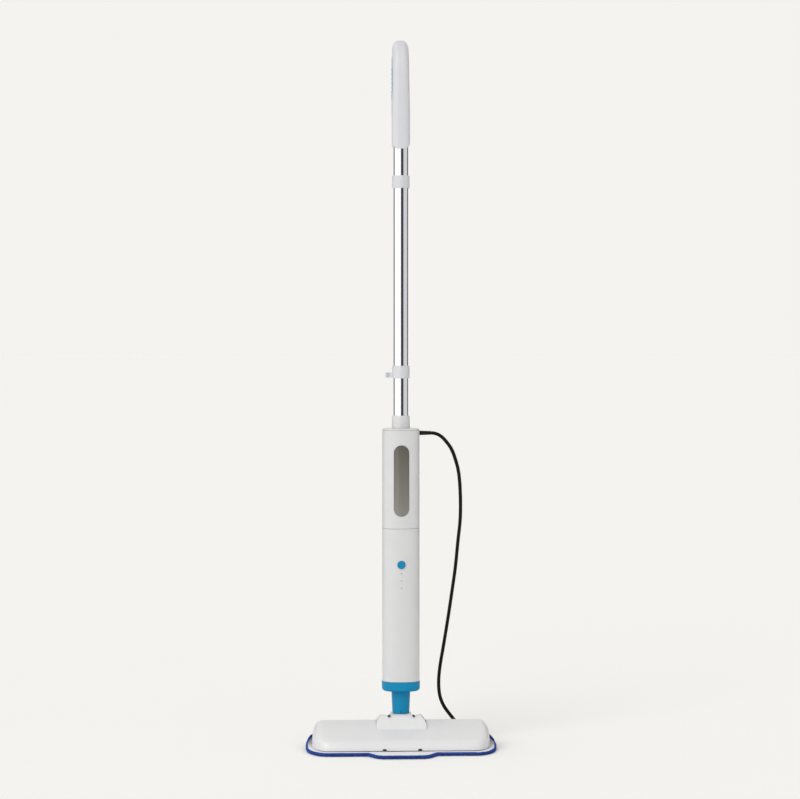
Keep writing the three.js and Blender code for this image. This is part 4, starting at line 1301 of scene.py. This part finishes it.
def make_filler_flap():
    """A panel in the body's skin, with a hinge barrel outside it and a finger lip at its top."""
    half = FLAP_HALF_WIDTH - GAP
    outline = rectangle(-half, half, FLAP_FOOT + GAP, FLAP_TOP - 2 * GAP, 2.3, 5)
    flap = sleeve("filler_flap_panel", 0, BODY_WALL, FLAP_FOOT - 4, FLAP_TOP + 4)
    common_part(flap, prism("other", outline, 10, 45, "Y", WHITE))
    barrel = shifted(turn_to_x(turned("barrel", [
        (0, -6.2), (1.5, -6.2), (1.8, -5.9), (1.8, 5.9), (1.5, 6.2), (0, 6.2),
    ], WHITE, 32)), y=HINGE_Y, z=HINGE_Z)
    web = block(-6.2, 6.2, 27, HINGE_Y, HINGE_Z - 1.3, HINGE_Z + 1.3)
    lip_outline = rectangle(-6, 6, 507.5, 510.3, 1.3, 5)
    lip = prism("lip", lip_outline, 26.6, 29.3, "Y", WHITE, edge=0.5)
    join_with(flap, [barrel, web, lip])
    cut_away(flap, [bar_along_x(1.2, -20, 20, HINGE_Y, HINGE_Z, 24)])
    place_even(flap, "filler_flap", "white_plastic", "filler_cap")


# ---- Lower body: housing halves, button, lights, cap and stem ----

BUTTON_Z = 314.5
LIGHT_HEIGHTS = [299.5, 287.5, 275.5]
CAP_FOOT, CAP_HALF_WIDTH, CAP_HALF_DEPTH, CAP_EDGE = 100.0, 32.2, 28.7, 4.5
SOCKET_INNER, SOCKET_OUTER = 14.3, 17.0  # radii of the cap's socket for the stem


def make_lower_half(side):
    """The front or rear half of the lower shell. The front one has the button and light holes."""
    name = "front" if side < 0 else "rear"
    half = sleeve(f"lower_body_{name}", 0, BODY_WALL, BODY_FOOT + GAP, BODY_SEAM - GAP / 2)
    keep = GAP / 2
    low, high = (-keep, 60) if side < 0 else (-60, keep)
    cutters = [block(-60, 60, low, high, 90, 400)]
    if side < 0:
        cutters.append(bar_along_y(7.9, -45, -15, BUTTON_Z, 64))
        for height in LIGHT_HEIGHTS:
            cutters.append(bar_along_y(1.3, -45, -15, height, 24))
    cut_away(half, cutters)
    place_even(half, "main_unit", "white_plastic", f"lower_housing_{name}")


def make_button():
    """The press button with a shallow dish, and the thin bezel round it."""
    button = turned("steam_button", [
        (0, -28.7), (2.5, -28.78), (4.4, -29.0), (5.5, -29.2), (6.1, -29.1), (6.5, -28.75), (6.65, -28.2),
        (6.65, -27.85), (2.4, -27.85), (2.4, -24.4), (0, -24.4),
    ], BLUE, 72)
    shifted(turn_to_y(button), z=BUTTON_Z)
    place_piece(button, "button", "blue_plastic", "power_button")
    bezel = turned("button_ring", [
        (6.95, -28.5), (7.15, -28.82), (7.5, -28.95), (8.2, -28.85), (8.6, -28.6), (8.7, -28.3),
        (7.7, -28.3), (7.7, -25), (6.95, -25),
    ], WHITE, 72, closed=True)
    shifted(turn_to_y(bezel), z=BUTTON_Z)
    place_piece(bezel, "main_unit", "white_plastic", "button_bezel")


def make_lights():
    """Small domed lenses in a row under the button."""
    for i, height in enumerate(LIGHT_HEIGHTS, 1):
        lens = turned(f"light_{i}", [
            (0, -28.35), (0.5, -28.3), (0.95, -28.1), (1.2, -27.8), (1.2, -23), (0, -23),
        ], LENS, 32)
        shifted(turn_to_y(lens), z=height)
        place_piece(lens, "main_unit", "grey_lens", f"led_lens_{i}")


def make_base_cap():
    """The blue cap under the body: a rounded dish with a socket for the stem."""
    rings = [oval(SOCKET_INNER, SOCKET_INNER, CAP_FOOT, ROUND), oval(15.2, 15.2, CAP_FOOT, ROUND)]
    for k in range(9):
        angle = math.radians(90 * k / 8)
        inset = CAP_EDGE * (1 - math.sin(angle))
        height = CAP_FOOT + CAP_EDGE * (1 - math.cos(angle))
        rings.append(oval(CAP_HALF_WIDTH - inset, CAP_HALF_DEPTH - inset, height))
    wide, deep = CAP_HALF_WIDTH, CAP_HALF_DEPTH
    rings += [oval(wide, deep, BODY_FOOT - 0.5), oval(wide - 0.15, deep - 0.15, BODY_FOOT - 0.15)]
    rings += [oval(wide - 0.5, deep - 0.5, BODY_FOOT), oval(wide - 4, deep - 4, BODY_FOOT)]
    rings += [oval(wide - 4, deep - 4, CAP_FOOT + 6), oval(SOCKET_OUTER, SOCKET_OUTER, CAP_FOOT + 6, ROUND)]
    rings.append(oval(SOCKET_OUTER, SOCKET_OUTER, BODY_FOOT, ROUND))
    rings.append(oval(SOCKET_INNER, SOCKET_INNER, BODY_FOOT, ROUND))
    cap = lofted("stem_cap", rings, BLUE, closed=True)
    place_even(cap, "main_unit", "blue_plastic", "base_cap")


def make_stem():
    """The tapered tube under the cap, with a raised seam and a small latch at its front."""
    tube = turned("stem_tube", [
        (10, 61), (13.7, 61), (14.15, 61.2), (14.3, 61.8), (15.95, 98.6), (15.9, 99.3), (15.5, 99.7),
        (14, 99.7), (14, 122), (10, 122),
    ], BLUE, 96, closed=True)
    ribs = []
    for side in (-1, 1):
        corners = [(side * 12.5, 67), (side * 14.95, 67), (side * 16.3, 97), (side * 12.5, 97)]
        outline = rounded_outline(corners, 0.6, 3)
        ribs.append(prism("rib", outline, -0.9, 0.9, "X", BLUE, edge=0.3, edge_steps=2))
    latch = rounded_outline([(-4, 61.6), (4, 61.6), (3.4, 68.2), (-3.4, 68.2)], 1, 4)
    ribs.append(prism("latch", latch, -15.15, -11, "Y", BLUE, edge=0.4, edge_steps=2))
    join_with(tube, ribs)
    cut_away(tube, [block(-0.8, 0.8, -18, -12.2, 60, 66.5)])
    place_even(tube, "main_unit", "blue_plastic", "stem")


# ---- The two-axis joint between the stem and the floor head ----

ROLL_Z, PITCH_Z = 45.0, 33.0
ROLL_BORE, PITCH_BORE = 3.3, 3.8  # radii of the holes for the two axes' pins
KNUCKLE_SLOT = 9.0  # half the gap between the fork's cheeks
THROAT_HALF_WIDTH = 24.1
HOUSING_HALF_WIDTH, HOUSING_FRONT, HOUSING_REAR = 42.5, -33.0, 48.0


def make_knuckle():
    """The fork at the foot of the stem, which rolls on the yoke's tongue."""
    outline = rounded_outline([
        (-9, 37.5), (9, 37.5), (17.8, 48.5), (17.8, 60.7), (-17.8, 60.7), (-17.8, 48.5),
    ], 3, 5)
    knuckle = prism("stem_joint", outline, -15.8, 15.8, "Y", WHITE, edge=1.4, edge_steps=4)
    join_with(knuckle, [round_bar(9.7, 59, 78)])
    cutters = [
        block(-30, 30, -KNUCKLE_SLOT, KNUCKLE_SLOT, 30, ROLL_Z + 9.6),
        round_bar(4.4, 30, 90),
        bar_along_y(ROLL_BORE, -20, 20, ROLL_Z),
    ]
    cut_away(knuckle, cutters)
    place_piece(knuckle, "main_unit", "white_plastic", "stem_knuckle")


def make_yoke():
    """The cross between the two axes: an upright tongue on a shaft that lies along X."""
    yoke = turned("joint_cross", [
        (0, -8.7), (8.2, -8.7), (9, -7.9), (9, 7.9), (8.2, 8.7), (0, 8.7),
    ], BLACK, 64)
    shifted(turn_to_y(yoke), z=ROLL_Z)
    shaft = turned("shaft", [
        (0, -23.8), (5.7, -23.8), (6.5, -23), (6.5, 23), (5.7, 23.8), (0, 23.8),
    ], BLACK, 64)
    shifted(turn_to_x(shaft), z=PITCH_Z)
    outline = [(-9, PITCH_Z), (9, PITCH_Z), (9, ROLL_Z), (-9, ROLL_Z)]
    tongue = prism("tongue", outline, -6, 6, "Y", BLACK, edge=0.8)
    join_with(yoke, [shaft, tongue])
    cutters = [
        bar_along_y(ROLL_BORE, -12, 12, ROLL_Z),
        bar_along_x(PITCH_BORE, -30, -10, 0, PITCH_Z),
        bar_along_x(PITCH_BORE, 10, 30, 0, PITCH_Z),
    ]
    cut_away(yoke, cutters)
    place_piece(yoke, "yoke", "black_plastic", "hinge_yoke")


def throat_cutters():
    """The space swept by the knuckle and stem as the pole leans back and rolls."""
    half = THROAT_HALF_WIDTH
    plan = rounded_outline([
        (-half, -16.2), (half, -16.2), (half, 12), (28, 25), (38, 42), (49, 62), (-49, 62), (-38, 42),
        (-28, 25), (-half, 12),
    ], 4, 5)
    side_view = [(-17, 90), (-17, 24), (-8, 17), (4.3, 17), (62, 32.4), (62, 90)]
    throat = prism("cutter", plan, 0, 100, "Z", WHITE)
    common_part(throat, prism("other", side_view, -60, 60, "X", WHITE))
    front_view = [(-half, 49), (half, 49), (30.5, 59), (30.5, 80), (-30.5, 80), (-30.5, 59)]
    return [throat, prism("cutter", front_view, -16.2, 40, "Y", WHITE)]


def make_hinge_housing():
    """The block on the head that holds the pitch shaft, softened as one moulding."""
    half = HOUSING_HALF_WIDTH
    front_view = rounded_outline([
        (-half, 11.1, 0), (half, 11.1, 0), (half, 46, 8), (34.5, 58.2, 5), (31, 60.4, 3), (-31, 60.4, 3),
        (-34.5, 58.2, 5), (-half, 46, 8),
    ], 3, 6)
    side_view = rounded_outline([
        (-25, 11.1, 0), (-25, 23, 0), (HOUSING_FRONT, 23, 0), (HOUSING_FRONT, 37, 5), (-20.5, 58, 6),
        (-17, 60.4, 3), (-8, 59.6, 6), (9, 57, 6), (16, 53, 5), (24, 46, 6), (HOUSING_REAR, 30.5, 4),
        (HOUSING_REAR, 11.1, 0),
    ], 3, 6)
    housing = prism("joint_housing", front_view, HOUSING_FRONT, HOUSING_REAR, "Y", HEAD_WHITE_PAINTED_LIGHTER)
    common_part(housing, prism("other", side_view, -half, half, "X", HEAD_WHITE_PAINTED_LIGHTER))
    cutters = throat_cutters()
    for low, high in ((-39.5, -33), (33, 39.5)):
        cutters.append(block(low, high, -22, 45, 5, 27))
    for low, high in ((-31.3, -20), (20, 31.3)):
        cutters.append(bar_along_x(PITCH_BORE, low, high, 0, PITCH_Z))
    for side in (-1, 1):
        notch = [(side * 18.4, 62), (side * 23.2, 62), (side * 22.4, 57.4), (side * 19.4, 57.4)]
        cutters.append(prism("cutter", notch, -30, -12, "Y", HEAD_WHITE_PAINTED_LIGHTER))
    cut_away(housing, cutters)
    softened(housing, 0.7, 5)
    place_piece(housing, "head", "white_plastic", "hinge_housing")


def make_hinge_notch_shade():
    """Black wedges in the notches on either side of the stem: painted shade where the gaps fall in shadow.
    """
    for side, name in [(-1, "hinge_notch_shade_left"), (1, "hinge_notch_shade_right")]:
        wedge = [(side * 18.7, 58.6), (side * 22.9, 57.7), (side * 22.9, 58.7), (side * 18.7, 60.4)]
        # Painted shade: a black wedge stands in for the shadow in the notch.
        shade_wedge = prism(name, wedge, -24, -13, "Y", BLACK)
        softened(shade_wedge, 0.25, 2)
        place_piece(shade_wedge, "head", "black_plastic", "hinge_housing")


# ---- Floor head ----

HEAD_HALF_WIDTH = 151.5
HEAD_HALF_DEPTH = 66.0
HEAD_FOOT = 7.5
HEAD_RIDGE = 48.0
HEAD_WALL = 2.5
HEAD_STRAIGHT = 122.0  # half the length of the head's straight front
SHOULDER = 28.0  # height at which the head's ends begin to round over
CREASE = 24.4
RIDGE_Y = 4.0
SLOT_X, SLOT_HALF_WIDTH, SLOT_TOP = 29.7, 3.3, 10.4  # the two slots at the cover's front foot


def head_end_reach(height):
    """Half the head's length at a height, from its front view: upright sides, then a round shoulder."""
    if height <= SHOULDER:
        return HEAD_HALF_WIDTH - 2.5 * (height - HEAD_FOOT) / (SHOULDER - HEAD_FOOT)
    low, high = 0.0, 1.0
    for _ in range(30):
        t = (low + high) / 2
        w = cubic_weights(t)
        level = SHOULDER * w[0] + 38 * w[1] + HEAD_RIDGE * (w[2] + w[3])
        low, high = (t, high) if level < height else (low, t)
    return 149 * w[0] + 147.5 * w[1] + 141.5 * w[2] + 130.5 * w[3]


def head_levels():
    """The head's side view as (height, front y, rear y), from its foot to its ridge."""
    deep = HEAD_HALF_DEPTH
    levels = [(HEAD_FOOT, -deep, deep), (HEAD_FOOT + 0.5, -deep, deep)]
    levels += [(11.4, -deep, deep), (12.2, 0.15 - deep, deep - 0.15), (13.2, 0.6 - deep, deep - 0.6)]
    levels += [(20.2, 4.7 - deep, deep - 4.7), (21.4, 5.3 - deep, deep - 5.3)]
    levels.append((23.6, 7.9 - deep, deep - 7.9))
    steps = 22
    for i in range(steps):
        w = cubic_weights(i / steps)
        height = CREASE * w[0] + 39 * w[1] + HEAD_RIDGE * (w[2] + w[3])
        front = -57 * w[0] - 32 * w[1] - 14 * w[2] + RIDGE_Y * w[3]
        rear = 57 * w[0] + 38 * w[1] + 22 * w[2] + RIDGE_Y * w[3]
        levels.append((height, front, rear))
    return levels


def head_ring(height, front, rear, inset):
    """One level of the head: straight front and rear, with rounded ends."""
    reach = head_end_reach(height)
    middle, half = (front + rear) / 2, (rear - front) / 2
    power = 2 + 2.2 * clamped((height - 12) / 36)
    end_depth = reach - HEAD_STRAIGHT
    points = []
    end_steps, side_steps = 28, 20
    half, reach = max(0.4, half - inset), reach - inset
    for side in (1, -1):
        for k in range(end_steps):
            angle = math.radians(-90 + 180 * k / end_steps)
            c, s = math.cos(angle), math.sin(angle)
            x = (reach - end_depth) + end_depth * abs(c) ** (2 / power)
            y = half * signed_power(s, 2 / power)
            points.append((side * x, middle + side * y, height))
        for k in range(side_steps):
            x = (reach - end_depth) * (1 - 2 * k / side_steps)
            points.append((side * x, middle + side * half, height))
    return points


def make_head_cover():
    """A thin moulded shell: low sides, a crease all round, and a long arched top."""
    levels = head_levels()
    outer = [head_ring(*level, 0.0) for level in levels]
    inner = []
    for height, front, rear in levels:
        lowered = height if height < 12 else height - HEAD_WALL * (height - 12) / (HEAD_RIDGE - 12)
        ring = head_ring(height, front, rear, HEAD_WALL)
        inner.append([(x, y, lowered) for x, y, _ in ring])
    cover = lofted("floor_head_cover", [*reversed(inner), *outer], HEAD_WHITE_PAINTED_LIGHTER, sharp_degrees=32)
    wide, front, rear = HOUSING_HALF_WIDTH + GAP, HOUSING_FRONT - GAP, HOUSING_REAR + GAP
    hole = rectangle(-wide, wide, front, rear, 2, 5)
    cutters = [prism("cutter", hole, 0, 80, "Z", HEAD_WHITE_PAINTED_LIGHTER)]
    for side in (-1, 1):
        left, right = side * SLOT_X - SLOT_HALF_WIDTH, side * SLOT_X + SLOT_HALF_WIDTH
        slot = rounded_outline([(left, 0, 0), (right, 0, 0), (right, SLOT_TOP), (left, SLOT_TOP)], 1, 4)
        cutters.append(prism("cutter", slot, -80, -60, "Y", HEAD_WHITE_PAINTED_LIGHTER))
    cut_away(cover, cutters, 32)
    place_piece(cover, "head", "white_plastic", "head_cover")


# ---- Mop pad ----

PAD_HALF_WIDTH, PAD_HALF_DEPTH, PAD_END_DEPTH = 162.0, 74.5, 38.0
PAD_TAB_HALF_WIDTH, PAD_TAB_FRONT = 50.0, -101.5
CURL_IN, CURL_UP = 4.5, 13.0  # how far the pad's ends curl at most
TUFT_ROWS = (5.2, 4.1, 3.0, 1.9, 1.0)  # heights on the pad's edge, from the top row down


def pad_outline():
    """The pad from above: oval ends, and a tab at the front centre to step on when it is pulled off."""
    wide, deep, end = PAD_HALF_WIDTH, PAD_HALF_DEPTH, PAD_END_DEPTH
    right = [(wide - end + end * math.cos(a), deep * math.sin(a))
             for a in (math.radians(-90 + 180 * k / 48) for k in range(49))]
    left = [(-x, -y) for x, y in right]
    tab, front = PAD_TAB_HALF_WIDTH, PAD_TAB_FRONT
    flap = rounded_outline([
        (-tab - 10, -deep, 0), (-tab - 8, -deep, 5), (-tab + 6, front + 5, 6), (-tab + 16, front, 8),
        (tab - 16, front, 8), (tab - 6, front + 5, 6), (tab + 8, -deep, 5), (tab + 10, -deep, 0),
    ], 5, 6)
    corners = [*right, *left, *flap]
    outline = []
    for i, start in enumerate(corners):
        start, end_point = Vector(start), Vector(corners[(i + 1) % len(corners)])
        parts = max(1, round((end_point - start).length / 2.2))
        outline += [tuple(start.lerp(end_point, k / parts)) for k in range(parts)]
    return [p for i, p in enumerate(outline) if (Vector(p) - Vector(outline[i - 1])).length > 0.05]


def end_curl(x, y):
    """How the pad's free ends curl up beside the head, more so towards the rear, as (inwards, up)."""
    bulge = math.sqrt(max(0.0, 1 - (y / HEAD_HALF_DEPTH) ** 2))
    head = HEAD_STRAIGHT + (HEAD_HALF_WIDTH - HEAD_STRAIGHT) * bulge
    edge = PAD_HALF_WIDTH - PAD_END_DEPTH
    edge += PAD_END_DEPTH * math.sqrt(max(0.0, 1 - (y / PAD_HALF_DEPTH) ** 2))
    out = clamped((abs(x) - head - 1) / max(edge - head - 1, 4))
    back = eased(clamped((y + 38) / 80))
    back *= eased(clamped((abs(x) - PAD_HALF_WIDTH + PAD_END_DEPTH) / 24))
    return Vector((-math.copysign(CURL_IN * out * back, x), 0, CURL_UP * out * out * back))


def scaled_outline(outline, inset):
    """The outline drawn in towards the pad's long middle line, for its flat inner part."""
    result = []
    for x, y in outline:
        share = 1 - inset / PAD_HALF_DEPTH
        result.append((x - math.copysign(min(abs(x), inset), x), max(-PAD_HALF_DEPTH, y) * share))
    return result


def tuft(verts, faces, place, out, length, width, droop):
    """One short looped tuft: a bent, pointed strand with five sides."""
    side = Vector((-out.y, out.x, 0.0))
    start = len(verts)
    for share, thick in ((0.0, 0.7), (0.35, 1.0), (0.7, 0.8), (0.95, 0.35)):
        middle = place + out * (length * share) + Vector((0, 0, -droop * share * share))
        for k in range(5):
            angle = 2 * math.pi * k / 5
            lift = Vector((0, 0, math.sin(angle) * width * thick))
            verts.append(tuple(middle + side * (math.cos(angle) * width * thick) + lift))
    for ring in range(3):
        for k in range(5):
            a, b = start + ring * 5 + k, start + ring * 5 + (k + 1) % 5
            faces.append([a, b, b + 5, a + 5])
    faces.append([start + k for k in range(5)][::-1])
    faces.append([start + 15 + k for k in range(5)])


def make_pad():
    """A microfibre floor pad: a white woven top with a groove near its edge, and a deep blue pile."""
    chance = random.Random(7)
    outline = pad_outline()
    section = [
        (30.0, 6.0), (12.0, 6.05), (6.5, 6.0), (5.2, 5.75), (4.6, 5.72), (4.0, 5.95), (2.8, 6.0), (2.2, 5.8),
        (1.6, 5.45), (0.9, 4.6), (0.7, 3.4), (0.9, 2.0), (1.6, 0.9), (3.0, 0.35), (8.0, 0.25), (30.0, 0.3),
    ]
    rings = []
    for inset, height in section:
        ring = []
        for x, y in inset_outline(outline, inset) if inset < 10 else scaled_outline(outline, inset):
            wave = noise.noise(Vector((x * 0.035, y * 0.035, 3.1))) * 0.35
            fuzz = noise.noise(Vector((x * 0.45, y * 0.45, height))) * 0.25
            level = height + (wave if height > 3 else 0.0) + fuzz * 0.4
            ring.append(tuple(Vector((x, y, min(6.25, max(0.15, level)))) + end_curl(x, y)))
        rings.append(ring)
    pad = lofted("microfibre_pad", rings, PILE, sharp_degrees=180)
    mesh = pad.data
    mesh.materials.append(BACKING)
    white_bands = 7  # the bands of the section, from its top centre out, that show the backing
    for face in mesh.polygons:
        height = sum(mesh.vertices[i].co.z for i in face.vertices) / len(face.vertices) / MM
        inside = face.index < white_bands * len(outline)
        face.material_index = 1 if inside and height > 4.5 else 0
    tufts_verts, tufts_faces = [], []
    count = len(outline)
    for i, (x, y) in enumerate(outline):
        before, after = outline[i - 1], outline[(i + 1) % count]
        along = Vector((after[0] - before[0], after[1] - before[1], 0)).normalized()
        out = Vector((along.y, -along.x, 0))
        for row, height in enumerate(TUFT_ROWS):
            for _ in range(2):
                slide = along * chance.uniform(-1.2, 1.2)
                turn = Matrix.Rotation(chance.uniform(-0.5, 0.5), 3, "Z")
                place = Vector((x, y, height + chance.uniform(-0.3, 0.3))) + end_curl(x, y) + slide
                place -= out * (2.6 if row == 0 else 1.9)
                tuft(tufts_verts, tufts_faces, place, turn @ out, chance.uniform(2.2, 3.4),
                     chance.uniform(0.55, 0.8), min(height - 0.9, chance.uniform(0.1, 1.0)))
    tufts = mesh_object("tufts", tufts_verts, tufts_faces, PILE, 180)
    bpy.context.view_layer.objects.active = pad
    with bpy.context.temp_override(active_object=pad, selected_editable_objects=[pad, tufts]):
        bpy.ops.object.join()
    place_piece(pad, "head", "pad_fabric", "mop_pad")


make_cord()
handle_half("left", -1)
handle_half("right", 1)
make_grip()
make_handle_screws()
make_tube("upper_pole", POLE_JOINT + GAP, POLE_TOP, "upper_tube")
make_tube("lower_pole", POLE_FOOT, POLE_JOINT, "lower_tube")
make_hook("upper", 948, 0)
make_hook("lower", 628, 37)
make_neck()
make_lid()
make_tank_housing()
make_window()
make_filler_flap()
make_lower_half(-1)
make_lower_half(1)
make_button()
make_lights()
make_base_cap()
make_stem()
make_knuckle()
make_yoke()
make_hinge_housing()
make_hinge_notch_shade()
make_head_cover()
make_pad()
